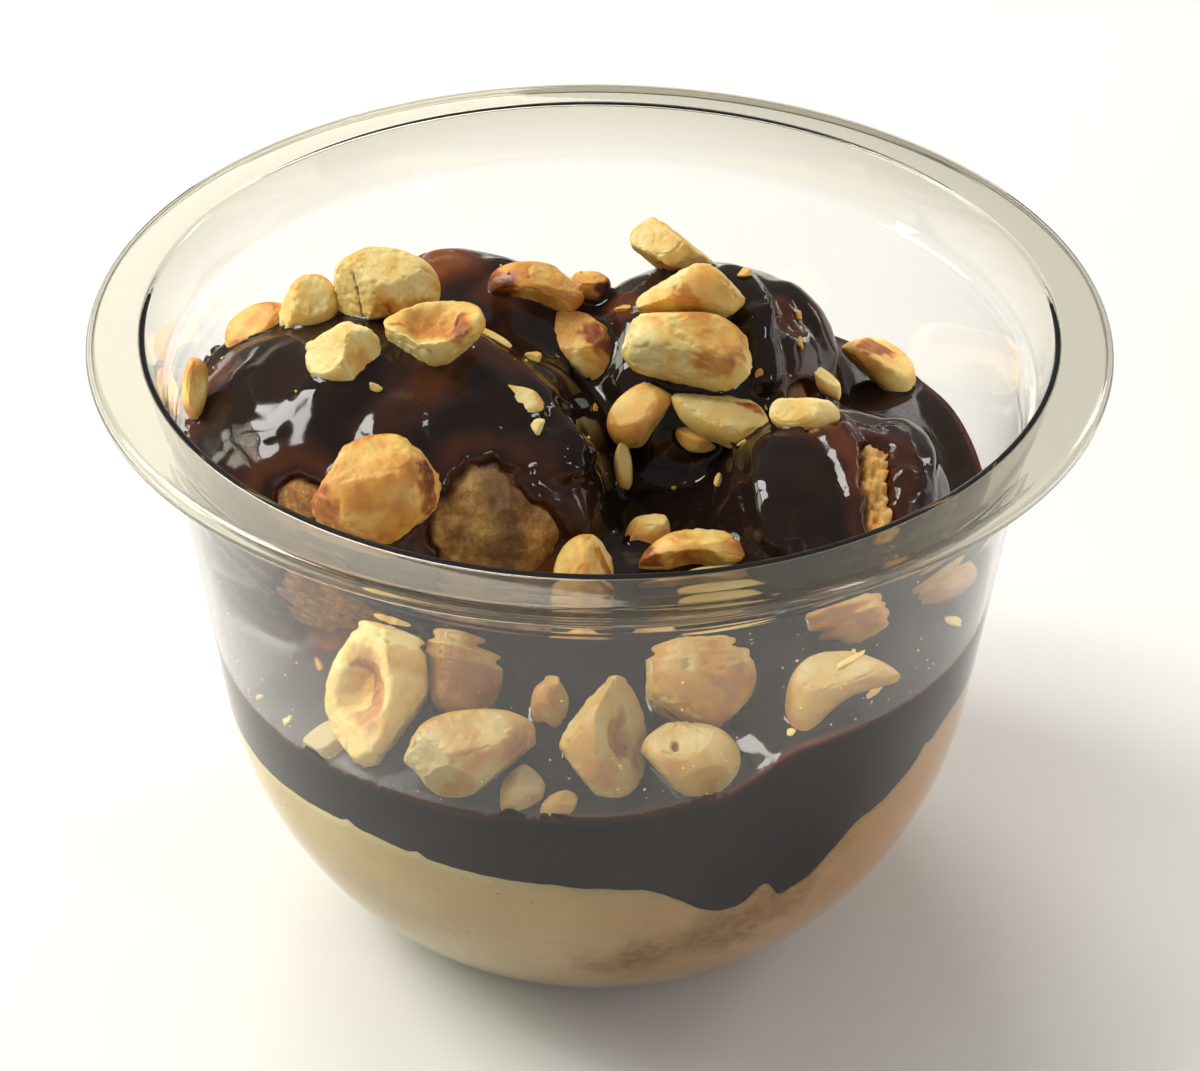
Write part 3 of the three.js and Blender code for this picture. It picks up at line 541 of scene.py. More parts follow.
def cup_profile():
    """The cup's section: out under the foot, up the outside, over the rim and down the inside to the axis."""
    foot = BOWL_AXIS + math.sqrt(BOWL_RADIUS ** 2 - BOWL_HEIGHT ** 2)
    inner_foot = BOWL_AXIS + math.sqrt((BOWL_RADIUS - WALL) ** 2 - (BOWL_HEIGHT - WALL) ** 2)
    low, inner_low = 1.6, 2.0  # where the foot's corner ends, outside and inside
    top, under, ledge = RIM_HEIGHT, RIM_HEIGHT - WALL, LEDGE_HEIGHT - WALL
    inner_top = LEDGE_HEIGHT - 1.6
    outer = rounded([(0, 0, 0), (foot - 0.3, 0, 1.2), (float(wall_radius(low)), low, 0)])
    outer += body_line(0, low + 0.4, GROOVES_FROM - 0.3)
    outer += body_line(0, GROOVES_FROM, ledge - 1.1, GROOVE_STEP, GROOVES)
    rim = rounded([
        (BODY_RADIUS - 0.05, ledge - 1.0, 0), (BODY_RADIUS, ledge - 0.5, 0.9),
        (LEDGE_RADIUS + WALL, ledge + 0.5, 0.9), (FLANGE_IN + WALL + 0.1, under, 0.2),
        (RIM_RADIUS - WALL, under, 0.5), (RIM_RADIUS - WALL, top - LIP_DROP, 0.25),
        (RIM_RADIUS, top - LIP_DROP, 0.28), (RIM_RADIUS, top - 0.15, 1.1),
        (FLANGE_OUT - 0.9, top, 0.8), (FLANGE_IN + 0.2, top, 0.5), (LEDGE_RADIUS, LEDGE_HEIGHT + 0.4, 0.6),
        (BODY_RADIUS - WALL / math.cos(TAPER), LEDGE_HEIGHT - 0.4, 0.6),
        (float(wall_radius(inner_top, WALL)), inner_top, 0)])
    inner = body_line(WALL, inner_low + 0.2, inner_top - 0.2)[::-1]
    inner += rounded([(float(wall_radius(inner_low, WALL)), inner_low, 0), (inner_foot, WALL, 0.8),
                      (0, WALL, 0)])
    return outer + rim + inner


def ring_faces(rings, around):
    """Faces between rings of points, closed by a point at each end. Those two points come after the rings."""
    first, last = rings * around, rings * around + 1
    top = (rings - 1) * around
    faces = []
    for k in range(around):
        after = (k + 1) % around
        faces += [(first, after, k), (last, top + k, top + after)]
        faces += [(a + k, a + after, a + around + after, a + around + k) for a in range(0, top, around)]
    return faces


def lathe(profile, around):
    """Points and faces of a profile turned about Z. It starts and ends on the axis."""
    profile = np.array(profile)
    ring, ends = profile[1:-1], profile[[0, -1]]
    angles = np.arange(around) * 2 * math.pi / around
    points = np.stack([np.outer(ring[:, 0], np.cos(angles)), np.outer(ring[:, 0], np.sin(angles)),
                       np.repeat(ring[:, 1:], around, 1)], -1).reshape(-1, 3)
    points = np.vstack([points, [[0, 0, ends[0, 1]], [0, 0, ends[1, 1]]]])
    return points, ring_faces(len(ring), around)


def build_cup():
    points, faces = lathe(cup_profile(), CUP_AROUND)
    rim = smoothstep(LEDGE_RADIUS - 0.3, FLANGE_IN + 0.3, radius_of(points))
    obj = place(make("clear_cup", points, faces, clear_plastic(), rim=rim), "clear_plastic", "cup")
    obj.visible_shadow = False


# ---- layers ----
def edge_height(edge, azimuth):
    """Height at which a layer meets the wall."""
    stops = np.array([*edge, (180, edge[0][1])], float)
    azimuth = (np.asarray(azimuth) + 180) % 360 - 180
    i = np.clip(np.searchsorted(stops[:, 0], azimuth, side="right") - 1, 0, len(stops) - 2)
    share = smoothstep(0, 1, (azimuth - stops[i, 0]) / (stops[i + 1, 0] - stops[i, 0]))
    return stops[i, 1] + share * (stops[i + 1, 1] - stops[i, 1])


def layer_height(edge, middle, x, y):
    """Height of a layer's surface: nearly level in the middle, then up or down to its edge."""
    azimuth = np.degrees(np.arctan2(y, x))
    power = 3
    if edge is SAUCE_EDGE:  # at the left and the back it slopes all the way
        power = power - 1.5 * (smoothstep(-115, -140, azimuth) + smoothstep(125, 155, azimuth))
    share = np.minimum(np.hypot(x, y) / EDGE_AT, 1) ** power
    return middle + share * (edge_height(edge, azimuth) - middle)


CREAM_AROUND, CREAM_ROWS, CREAM_RINGS = 600, 25, 4
CREAM_INSET = WALL - CREAM_REACH
CREAM_RIPPLES = [(0.18, 5.0, 5), (0.10, 1.6, 6), (0.05, 0.6, 7)]  # height, size and seed
HIDDEN_RADIUS, HIDDEN_DROP = 36.2, 1.6  # the cream's top, under the chocolate
STAIN = dict(azimuth=-72, height=18.12, wide=20, tall=4.4, slope=0.22)


def cream_line(azimuth):
    """Height of the line between cream and chocolate on the wall."""
    z = edge_height(CREAM_EDGE, azimuth)
    for at, width, rise in CREAM_NOTCHES:
        z = z + rise * np.exp(-0.5 * ((azimuth - at) / width) ** 2)
    around = np.radians(azimuth)
    ring = EDGE_AT * np.stack([np.cos(around), np.sin(around), 0 * around], -1)
    for height, size, seed in CREAM_RIPPLES:
        z = z + height * bumps(ring, size, seed)
    return z


def build_cream():
    azimuth = -180 + 360 * np.arange(CREAM_AROUND) / CREAM_AROUND
    x, y = np.cos(np.radians(azimuth)), np.sin(np.radians(azimuth))
    line, foot = cream_line(azimuth), CREAM_INSET
    circles = []
    for j in range(CREAM_RINGS):  # the hidden top, from the middle out
        r = (j + 1) / CREAM_RINGS * HIDDEN_RADIUS
        circles.append((r + 0 * line, layer_height(CREAM_EDGE, CREAM_MIDDLE, r * x, r * y) - HIDDEN_DROP))
    edge = wall_radius(line, CREAM_INSET)
    circles += [(edge - 0.4, line - 0.6), (edge - 0.07, line - 0.02)]  # its rounded edge
    for j in range(CREAM_ROWS + 1):  # down the wall
        z = line + (foot - line) * (j / CREAM_ROWS) - 0.06 * (j == 0)
        circles.append((wall_radius(z, CREAM_INSET), z))
    points = [np.stack([r * x, r * y, z], -1) for r, z in circles]
    points = np.vstack([*points, [[0, 0, CREAM_MIDDLE - HIDDEN_DROP], [0, 0, foot]]])
    faces = [(face[0], *face[:0:-1]) for face in ring_faces(len(circles), CREAM_AROUND)]
    azimuth = np.degrees(np.arctan2(points[:, 1], points[:, 0]))
    z, aside = points[:, 2], azimuth - STAIN["azimuth"]
    up = z - STAIN["height"] - STAIN["slope"] * aside
    stain = np.exp(-(aside / STAIN["wide"]) ** 4 - (up / STAIN["tall"]) ** 2)
    tan = 0.85 * smoothstep(-135, -45, azimuth) * smoothstep(150, 60, azimuth)
    wall = smoothstep(0.3, 0.0, wall_radius(z, CREAM_INSET) - radius_of(points))
    obj = make("cream_layer", points, faces, cream_stuff(), stain=stain, tan=tan, wall=wall)
    place(obj, "cream", "cream")


# ---- profiteroles and their chocolate ----
FAR = 6.0  # no field is worked out further out than this
BARE_DEPTH = 1.7  # how far the chocolate sinks where the crust is bare
LIP_RISE = 0.10  # and how far it swells beside that
LIP_AT, LIP_WIDTH = 5.5, 3.0  # degrees from the edge
BARE_EDGE = (3.0, -1.2)  # degrees over which the chocolate ends
COAT_JOIN, POOL_JOIN, PLUG_JOIN, BARE_JOIN = 2.4, 2.6, 1.1, 5.0  # widths of the rounded corners


def lumpy(direction, ball):
    """How far out a profiterole's surface lies in each direction, as a share of its half sizes."""
    scale = np.ones(len(direction))
    for towards, share, width in ball["lumps"]:
        angle = np.arccos(np.clip(direction @ unit(towards), -1, 1))
        scale += share * np.exp(-0.5 * (angle / math.radians(width)) ** 2)
    return scale


def ball_field(points, ball):
    """Distance outside a profiterole's glazed surface, and each point's direction from its middle."""
    away = points - np.array(ball["at"])
    q = away / np.array(ball["half"])
    length = np.linalg.norm(q, axis=1) + 1e-9
    direction = q / length[:, None]
    return np.linalg.norm(away, axis=1) * (1 - lumpy(direction, ball) / length), direction


def beside(direction, start, end):
    """Angle in degrees from each direction to the arc between two directions."""
    a, b = unit(start), unit(end)
    share = np.clip((direction - a) @ (b - a) / max((b - a) @ (b - a), 1e-9), 0, 1)
    nearest = unit(a + share[:, None] * (b - a))
    return np.degrees(np.arccos(np.clip((direction * nearest).sum(1), -1, 1)))


def bareness(direction, ball, seed):
    """How bare each place is, from 0 to 1, and how near it lies to the chocolate's edge."""
    nearest = np.full(len(direction), 90.0)
    for towards, radius in ball["bare"]:
        nearest = blend_min(nearest, beside(direction, towards, towards) - radius, BARE_JOIN)
    nearest = nearest + 2.6 * bumps(direction, 0.32, seed) + 1.5 * bumps(direction, 0.10, seed + 1)
    return smoothstep(*BARE_EDGE, nearest), np.exp(-0.5 * ((nearest - LIP_AT) / LIP_WIDTH) ** 2)


def sauce_rise(direction, ball, seed):
    """How much further out than the glazed surface the chocolate lies in each direction."""
    bare, lip = bareness(direction, ball, seed)
    size = float(np.mean(ball["half"]))
    rise = 0.34 * bumps(direction * size, 5.5, seed + 3) + 0.12 * bumps(direction * size, 2.4, seed + 4)
    for start, end, width, height in ball["drips"]:
        angle = beside(direction, start, end) + 1.6 * bumps(direction, 0.3, seed + 5)
        rise += height * smoothstep(width * 1.25, width * 0.35, angle)
    for towards, radius, height in ball["rough"]:
        patch = smoothstep(radius * 1.3, radius * 0.5, beside(direction, towards, towards))
        rise += height * patch * bumps(direction * size, 1.5, seed + 6)
    return (rise + LIP_RISE * lip) * (1 - bare) - BARE_DEPTH * bare


def coat_field(points):
    """The chocolate over the profiteroles: all four, joined."""
    field = np.full(len(points), FAR)
    for number, ball in enumerate(PROFITEROLES.values()):
        share = (((points - ball["at"]) / ball["half"]) ** 2).sum(1)
        close = np.flatnonzero(share < 2)
        distance, direction = ball_field(points[close], ball)
        near = np.abs(distance) < 3.2  # the relief reaches no further
        distance[near] -= sauce_rise(direction[near], ball, 20 + 10 * number)
        field[close] = blend_min(field[close], np.minimum(distance, FAR), COAT_JOIN)
    return field


PLUG_DEPTH = 0.45  # how far inside a nut the chocolate under it ends
PLUG_RISE = 0.9  # how far it creeps up beside the nut
SAUCE_OVERLAP = 1.1  # how far the chocolate reaches into the cream's top


def nut_field(points, nut):
    """About how far outside a hazelnut piece each point lies."""
    at, half, turn, cuts, tone, bend, hollow = nut
    local = (points - np.array(at)) @ STAND.T
    distance = np.full(len(points), -FAR)
    for i, (out, reach) in enumerate(cut_planes(half, turn, cuts)):
        distance = np.maximum(distance, local @ out - reach + (hollow[1] if hollow and i == 0 else 0))
    straight = turned(local, -turn)
    straight[:, 1] += bend * ((straight[:, 0] / half[0]) ** 2 - 0.35)
    length = np.linalg.norm(straight / np.array(half), axis=1) + 1e-9
    return np.maximum(distance, np.linalg.norm(straight, axis=1) * (1 - 1 / length))


def sauce_field(points):
    """The chocolate: the coats and the pool between them, inside the cup and above the cream."""
    x, y, z = points.T
    wall = np.hypot(x, y) - wall_radius(z, INSET)
    result = np.maximum(wall, 1.0)
    inner = np.flatnonzero(wall < 1.5)
    here = points[inner]
    x, y, z = here.T
    pool = z - layer_height(SAUCE_EDGE, SAUCE_MIDDLE, x, y)
    near = np.abs(pool) < 2
    pool[near] -= 0.10 * bumps(here[near], 7.0, 11)
    field = blend_min(coat_field(here), pool, POOL_JOIN)
    shallow = np.abs(field) < 3
    for nut in NUTS:
        reach = max(nut[1]) + 2.5
        close = shallow & (np.abs(x - nut[0][0]) < reach)
        if close.any():
            close = np.flatnonzero(close & (np.abs(y - nut[0][1]) < reach) & (np.abs(z - nut[0][2]) < reach))
            plug = np.maximum(nut_field(here[close], nut) + PLUG_DEPTH, field[close] - PLUG_RISE)
            field[close] = blend_min(field[close], plug, PLUG_JOIN)
    under = layer_height(CREAM_EDGE, CREAM_MIDDLE, x, y) - SAUCE_OVERLAP - z
    result[inner] = np.maximum(np.maximum(field, wall[inner]), under)
    return result


EDGES = [(a, b) for a in range(8) for b in range(a + 1, 8) if np.abs(CORNERS[a] - CORNERS[b]).sum() == 1]


def surface_of(field, low, high, step):
    """Points and faces of the surface where a field is zero, by surface nets."""
    low, high = np.array(low, float), np.array(high, float)
    size = np.ceil((high - low) / step).astype(int) + 1
    across, up = (low[i] + step * np.arange(size[i]) for i in (1, 2))
    ys, zs = np.meshgrid(across, up, indexing="ij")
    values = np.empty(size, np.float32)
    for i in range(size[0]):
        layer = np.stack([np.full(ys.size, low[0] + step * i), ys.ravel(), zs.ravel()], -1)
        values[i] = field(layer).reshape(ys.shape)
    inside = values < 0
    cells = size - 1
    count = np.zeros(cells, np.int8)
    for a, b, c in CORNERS:
        count += inside[a:a + cells[0], b:b + cells[1], c:c + cells[2]]
    mixed = (count > 0) & (count < 8)
    where = np.argwhere(mixed)
    index = np.full(cells, -1, np.int32)
    index[mixed] = np.arange(len(where))
    total, hits = np.zeros((len(where), 3)), np.zeros(len(where))
    for a, b in EDGES:
        va = values[tuple((where + CORNERS[a]).T)]
        vb = values[tuple((where + CORNERS[b]).T)]
        crossed = (va < 0) != (vb < 0)
        share = np.where(crossed, va / np.where(crossed, va - vb, 1), 0)
        total += (CORNERS[a] + (CORNERS[b] - CORNERS[a]) * share[:, None]) * crossed[:, None]
        hits += crossed
    points = low + step * (where + total / hits[:, None])
    faces = []
    for axis in range(3):
        u, v = (axis + 1) % 3, (axis + 2) % 3
        ahead, back = [slice(None)] * 3, [slice(None)] * 3
        ahead[axis], back[axis] = slice(1, None), slice(None, -1)
        start, end = inside[tuple(back)], inside[tuple(ahead)]
        spots = np.argwhere(start != end)
        su, sv = spots[:, u], spots[:, v]
        spots = spots[(su > 0) & (sv > 0) & (su < cells[u]) & (sv < cells[v])]
        eu, ev = np.eye(3, dtype=int)[u], np.eye(3, dtype=int)[v]
        quad = np.stack([index[tuple((spots - shift).T)] for shift in (0 * eu, eu, eu + ev, ev)], -1)
        outward = start[tuple(spots.T)]
        faces.append(np.where(outward[:, None], quad, quad[:, ::-1]))
    return points, np.vstack(faces)


SLOPE_STEP = 0.06


def slope_of(field, points, value):
    """The field's slope at points where it has this value."""
    return np.stack([(field(points + SLOPE_STEP * e) - value) / SLOPE_STEP for e in np.eye(3)], -1)


def settle(points, field):
    """Moves points onto the surface where the field is zero."""
    value = field(points)
    slope = slope_of(field, points, value)
    slope /= np.maximum((slope ** 2).sum(1), 0.2)[:, None]
    points = points - np.clip(value, -0.4, 0.4)[:, None] * slope
    return points - np.clip(field(points), -0.1, 0.1)[:, None] * slope


def normals_of(points, faces):
    """Normals at the points of a mesh of quads or triangles."""
    faces = np.asarray(faces)
    across = np.cross(points[faces[:, 2]] - points[faces[:, 0]], points[faces[:, -1]] - points[faces[:, 1]])
    total = np.zeros_like(points)
    for column in faces.T:
        np.add.at(total, column, across)
    return total / (np.linalg.norm(total, axis=1, keepdims=True) + 1e-12)


SAUCE_STEP = 0.46
SAUCE_BOX = ((-39.6, -39.6, 19), (39.6, 39.6, 62))
TOUCHING = 0.30  # points of the chocolate this near the wall lie on it
TOP_LINE_ABOVE = 31.0  # the chocolate's line on the wall is higher than this, and the cream's lower
EDGE_REACH = 0.34  # how near that line its points are
EDGE_INSIDE = 0.5  # how far in from the wall its surface is read


def trim_edge(points):
    """Moves the chocolate's topmost points on the wall along it, onto the line where its surface ends."""
    radius, height = radius_of(points), points[:, 2]
    wall = np.flatnonzero((radius > wall_radius(height, INSET) - 0.01) & (height > TOP_LINE_ABOVE))
    inward = points[wall] * (-1, -1, 0) / radius[wall][:, None]
    inside = points[wall] + EDGE_INSIDE * inward
    value = sauce_field(inside)
    near = np.flatnonzero(np.abs(value) < EDGE_REACH)
    wall, inward, inside, value = wall[near], inward[near], inside[near], value[near]
    slope = slope_of(sauce_field, inside, value)
    slope -= (slope * inward).sum(1)[:, None] * inward
    points[wall] -= value[:, None] * slope / np.maximum((slope ** 2).sum(1), 0.3)[:, None]
    points[wall, :2] *= (wall_radius(points[wall, 2], INSET) / radius_of(points[wall]))[:, None]
    return points


def build_chocolate():
    points, faces = surface_of(sauce_field, *SAUCE_BOX, SAUCE_STEP)
    points = settle(points, sauce_field)
    radius, limit = radius_of(points), wall_radius(points[:, 2], INSET)
    points[:, :2] *= np.where(limit - radius < TOUCHING, limit / radius, 1)[:, None]
    points = trim_edge(points)
    x, y, z = points.T
    inward = wall_radius(z, INSET) - radius_of(points)
    thin = np.zeros(len(points))
    for number, ball in enumerate(PROFITEROLES.values()):
        distance, direction = ball_field(points, ball)
        bare, lip = bareness(direction, ball, 20 + 10 * number)
        close = smoothstep(3.0, 1.2, np.abs(distance))
        thin = np.maximum(thin, close * np.clip(bare + 0.5 * lip, 0, 1))
        for start, end, width, strength in ball["thin"]:
            angle = beside(direction, start, end) + 2.5 * bumps(direction, 0.2, 90 + number)
            thin = np.maximum(thin, close * strength * smoothstep(width * 1.4, width * 0.3, angle))
    azimuth = np.degrees(np.arctan2(y, x))
    top = layer_height(SAUCE_EDGE, SAUCE_MIDDLE, x, y)
    line = smoothstep(0.9, 0.1, np.abs(z - top)) * smoothstep(1.0, 0.2, inward)  # thin at its top line too
    thin = np.maximum(thin, line * (0.55 + 0.35 * np.exp(-((azimuth + 62) / 12) ** 2)))
    dull = smoothstep(-100, -125, azimuth) * smoothstep(24, 30, radius_of(points)) * smoothstep(42, 39.5, z)
    wall = smoothstep(0.35, 0.05, inward)
    obj = make("chocolate", points, faces, chocolate_stuff(), thin=thin, wall=wall, dull=dull)
    obj.shadow_terminator_geometry_offset = 0.5
    place(obj, "chocolate", "chocolate_sauce")
    return points, faces


@cache
def icosphere(level):
    """Points and triangles of a unit ball."""
    golden = (1 + 5 ** 0.5) / 2
    corners = np.array([np.roll((a, b * golden, 0), n) for n in range(3) for a in (-1, 1) for b in (-1, 1)])
    faces = []
    for a, b, c in combinations(range(12), 3):
        trio = corners[[a, b, c]]
        if np.allclose(np.linalg.norm(trio - trio[[1, 2, 0]], axis=1), 2):
            faces.append((a, b, c) if np.linalg.det(trio) > 0 else (a, c, b))
    points, faces = unit(corners), np.array(faces)
    for _ in range(level):
        pairs = np.sort(np.vstack([faces[:, [0, 1]], faces[:, [1, 2]], faces[:, [2, 0]]]), 1)
        unique, back = np.unique(pairs, axis=0, return_inverse=True)
        middle = unit(points[unique].mean(1))
        ab, bc, ca = back.reshape(3, -1) + len(points)
        a, b, c = faces.T
        faces = np.vstack([np.stack(t, -1) for t in ((a, ab, ca), (b, bc, ab), (c, ca, bc), (ab, bc, ca))])
        points = np.vstack([points, middle])
    return points, faces


COVERED = 1.3  # how far the crust lies under the glazed surface
SHOWN = 0.15  # and where it is bare
TORN = "right"  # the one whose crust is torn open: it is coarser and less wet
CHOUX_LEVELS = {"left": 6, "right": 6, "back_left": 4, "back_right": 4}  # the back ones are covered
SMEAR = 0.62


def build_choux(name, ball, number, material):
    direction, faces = icosphere(CHOUX_LEVELS[name])
    bare, lip = bareness(direction, ball, 20 + 10 * number)
    out = unit(direction / np.array(ball["half"]))
    base = direction * np.array(ball["half"]) * lumpy(direction, ball)[:, None] + np.array(ball["at"])
    torn = name == TORN
    coarse, fine = (0.5, 0.45) if torn else (0.22, 0.12)
    crust = coarse * grain(base, 2.2, 3, number) + fine * grain(base, 0.7, 2, number + 9)
    points = base + out * (crust - COVERED + (COVERED - SHOWN) * bare)[:, None]
    points = keep_inside(points, INSET + 0.1)
    smear = 0.6 * smoothstep(0.0, 0.6, bumps(base, 3.4, 70 + number)) + 0.35 * lip
    smear = smear * (0.3 if torn else 1)
    for start, end, width in ball.get("smears", ()):
        angle = beside(direction, start, end) + 4.0 * bumps(direction, 0.22, 60 + number)
        smear = np.maximum(smear, SMEAR * smoothstep(width * 1.5, 0, angle))
    wet = np.clip(1 - bare + smear, 0, 1)
    obj = make(f"choux_{name}", points, faces, material, wet=wet, torn=0 * bare + torn)
    place(obj, "glazed_choux", f"profiterole_{name}")


# ---- hazelnuts ----
def heading(azimuth, elevation):
    """Direction at an azimuth and an elevation."""
    a, e = math.radians(azimuth), math.radians(elevation)
    return np.array([math.cos(e) * math.cos(a), math.cos(e) * math.sin(a), math.sin(e)])


def turned(points, degrees):
    """Points turned about Z."""
    a = math.radians(degrees)
    return points @ np.array([[math.cos(a), math.sin(a), 0], [-math.sin(a), math.cos(a), 0], [0, 0, 1]])


def cut_planes(half, turn, cuts):
    """Outward direction and distance from the middle of each break."""
    planes = []
    for azimuth, elevation, share in cuts:
        out = heading(azimuth, elevation)
        planes.append((out, share * float(np.linalg.norm(turned(out[None], -turn)[0] * np.array(half)))))
    return planes


UPRIGHT = math.radians(90 - LEAN)  # the pieces are drawn facing the viewer, then leaned back
STAND = np.array([[1, 0, 0], [0, math.cos(UPRIGHT), math.sin(UPRIGHT)],
                  [0, -math.sin(UPRIGHT), math.cos(UPRIGHT)]])
NUTS = [(*row, *(0, None)[len(row) - 5:]) for row in HAZELNUTS]  # with no bend or hollow where none is given
BREAK_SHARPNESS = 50
FACET_SHARPNESS = 34
EDGE_SHARPNESS = 26
FACETS = 6  # soft flat places besides the breaks
FACET_REACH, SMALL_FACET_REACH = (0.88, 0.95), (0.68, 0.88)
CRUMBLED = 0.36  # how far the edges are worn
CRACK_BLUR = 0.3
NO_CRACK = 3.0  # far from any crack


def along(points, start, end):
    """Distance in the picture's plane from each point to a mark's middle line."""
    a, b = np.array(start), np.array(end)
    share = np.clip((points[:, :2] - a) @ (b - a) / max((b - a) @ (b - a), 1e-9), 0, 1)
    return np.linalg.norm(points[:, :2] - a - share[:, None] * (b - a), axis=1)


def nut_shape(nut, marks, level, seed):
    """One broken piece in its own upright frame: points, faces and its fields."""
    at, half, turn, cuts, tone, bend, hollow = nut
    rng = np.random.default_rng(seed)
    ball, faces = icosphere(level)
    half = np.array(half)
    size = float(half.mean())
    points = ball * half * (1 + 0.035 * bumps(ball, 0.9, seed))[:, None]
    points[:, 1] -= bend * ((points[:, 0] / half[0]) ** 2 - 0.35)
    points = turned(points, turn)
    total, broken = np.ones(len(points)), np.zeros(len(points))
    crowd, most = np.ones(len(points)), np.ones(len(points))
    planes = cut_planes(half, turn, cuts)
    chips = 1 + 0.028 * bumps(points, 2.0, seed + 1) + 0.016 * bumps(points, 0.8, seed + 2)
    for out, reach in planes:
        ratio = np.clip(points @ out * chips / reach, 0, None)
        crowd, most = crowd + ratio ** EDGE_SHARPNESS, np.maximum(most, ratio ** EDGE_SHARPNESS)
        total += ratio ** BREAK_SHARPNESS
        broken += ratio ** BREAK_SHARPNESS
    if bend < 1:
        for out in unit(rng.normal(size=(FACETS, 3))):
            share = rng.uniform(*(FACET_REACH if size > 2.2 else SMALL_FACET_REACH))
            reach = share * np.linalg.norm(turned(out[None], -turn)[0] * half)
            total += np.clip(points @ out / reach, 0, None) ** FACET_SHARPNESS
    points /= (total ** (1 / BREAK_SHARPNESS))[:, None]
    broken = np.clip(broken / total * 1.3, 0, 1)
    edge = np.clip(2 - 2 * most / crowd, 0, 1)  # 1 where two faces meet
    deep = np.zeros(len(points))
    if hollow:
        (out, reach), (radius, depth) = planes[0], hollow
        height = points @ out
        across = np.linalg.norm(points - height[:, None] * out, axis=1) + 0.35 * bumps(points, 1.3, seed + 4)
        deep = smoothstep(radius * 1.3, radius * 0.45, across) * (height > 0)
        points = points - out * (depth * deep)[:, None]
    normal = normals_of(points, faces)
    natural = 0.06 * bumps(points, 2.4, seed + 5) + 0.015 * bumps(points, 0.9, seed + 6)
    rough = 0.05 * bumps(points, 1.7, seed + 7) + 0.045 * grain(points, 0.7, 3, seed + 8)
    crumbs = bumps(points, 0.9, seed + 12) + 0.5 * bumps(points, 0.4, seed + 13)
    crumbled = edge * np.clip(0.25 + crumbs, 0, 1)
    relief = (natural + (rough - natural) * broken - CRUMBLED * crumbled) * min(1, size / 3)
    # 0.22 * deep darkens the hollow as painted shade
    toast_and_shade = 0.55 * tone + 0.08 + 0.22 * deep - 0.10 * broken - 0.10 * crumbled
    toast_and_shade += 0.15 * bumps(points, 2.8, seed + 9) + 0.07 * bumps(points, 1.2, seed + 14)
    glaze, pink, crack = np.zeros(len(points)), np.zeros(len(points)), np.full(len(points), NO_CRACK)
    for kind, start, end, width in marks:
        roast, wet, red, sink = MARK_KINDS[kind]
        blur = CRACK_BLUR if kind in ("crack", "hole") else 1.0
        off = along(points, start, end) + 0.45 * blur * min(width, 1) * bumps(points, 0.8, seed + 10)
        if kind == "crack":
            crack = np.where(points[:, 2] > 0, np.minimum(crack, off), crack)
        mark = smoothstep(width * 1.35, width * (1 - 0.5 * blur), off) * (points[:, 2] > 0)
        toast_and_shade, glaze, pink = toast_and_shade + roast * mark, np.maximum(glaze, wet * mark), np.maximum(pink, red * mark)
        uneven = 0.8 * bumps(points, 0.5, seed + 11) if kind in ("pink", "pit") else 0
        relief = relief - sink * mark * (1 + uneven)
    points = points + normal * relief[:, None]
    return points, faces, dict(toast_and_shade=np.clip(toast_and_shade, 0, 1), cut=broken, glaze=glaze, pink=pink, crack=crack)


def standing(points, at):
    """Leans a piece back onto the pile and keeps it clear of the wall."""
    return keep_inside(points @ STAND + np.array(at), WALL)


AT_WALL = range(28, 40)  # pieces against the wall, darkened with painted shade
# share of painted shade on the pieces at the wall
PAINTED_SHADE = 0.5
HIDDEN_FROM = 40  # the pieces behind the profiteroles


def build_hazelnuts(material):
    placed = []
    for number, nut in enumerate(NUTS, 1):
        size = float(np.mean(nut[1]))
        level = 5 if size > 3.4 and number < HIDDEN_FROM else 4 if size > 1.7 else 3
        points, faces, fields = nut_shape(nut, MARKS.get(number, []), level, 100 + 20 * number)
        points = standing(points, nut[0])
        # the pieces at the wall get painted shade
        fields["painted_wall_shade"] = np.full(len(points), PAINTED_SHADE if number in AT_WALL else 0)
        obj = make(f"nut_{number:02d}", points, faces, material, **fields)
        place(obj, "hazelnut", f"hazelnut_{number:02d}")
        placed.append((points, faces))
    return placed


# ---- crumbs ----
# Crumbs of hazelnut on the chocolate: x, y, half length, half width, turn in degrees, tone.
CRUMBS = [
    (-6.4, 6.6, 1.25, 0.95, 30, 0.25), (14.4, 17.4, 1.25, 0.8, 10, 0.3), (-21.1, -3.6, 1, 0.5, 5, 0.15),
    (-27.5, 2.6, 0.6, 0.7, 0, 0.05), (-5.8, -4.4, 1.2, 0.9, 40, 0.05), (-0.5, 5.1, 1.2, 0.35, 80, 0.7),
    (15.6, 7, 0.75, 0.45, 20, 0.45), (11.5, -2.9, 0.9, 0.3, 60, 0.3), (19.8, 15.8, 1, 0.6, -40, 0.5),
    (19.9, 12.1, 1.1, 0.5, -60, 0.45), (2.5, 15.4, 1.2, 0.6, -10, 0.55), (33.5, -15, 1, 0.6, 0, 0.2),
    (22.4, -28.1, 1.9, 0.4, 35, 0.2), (25, -26.2, 1.3, 0.35, 50, 0.3), (-26.1, -17, 1, 0.4, -70, 0.6),
    (17.2, -32.6, 0.7, 0.45, 10, 0.1), (-28.4, -23.2, 0.7, 0.45, 30, 0.2),
    (-31.2, -19.6, 0.5, 0.4, 0, 0.2), (-3.6, -11, 0.35, 0.25, 0, 0.2), (2.1, -36.2, 0.5, 0.35, 0, 0.2),
    (13.8, -0.4, 0.6, 0.4, 20, 0.3),
]
FINE_CRUMBS = 46
SPECKS = 110
CHIP_SHARPNESS = 36
CHIP_FACES = 9
CHIP_RISE = 0.35  # how high its middle lies above the surface, as a share of its half height


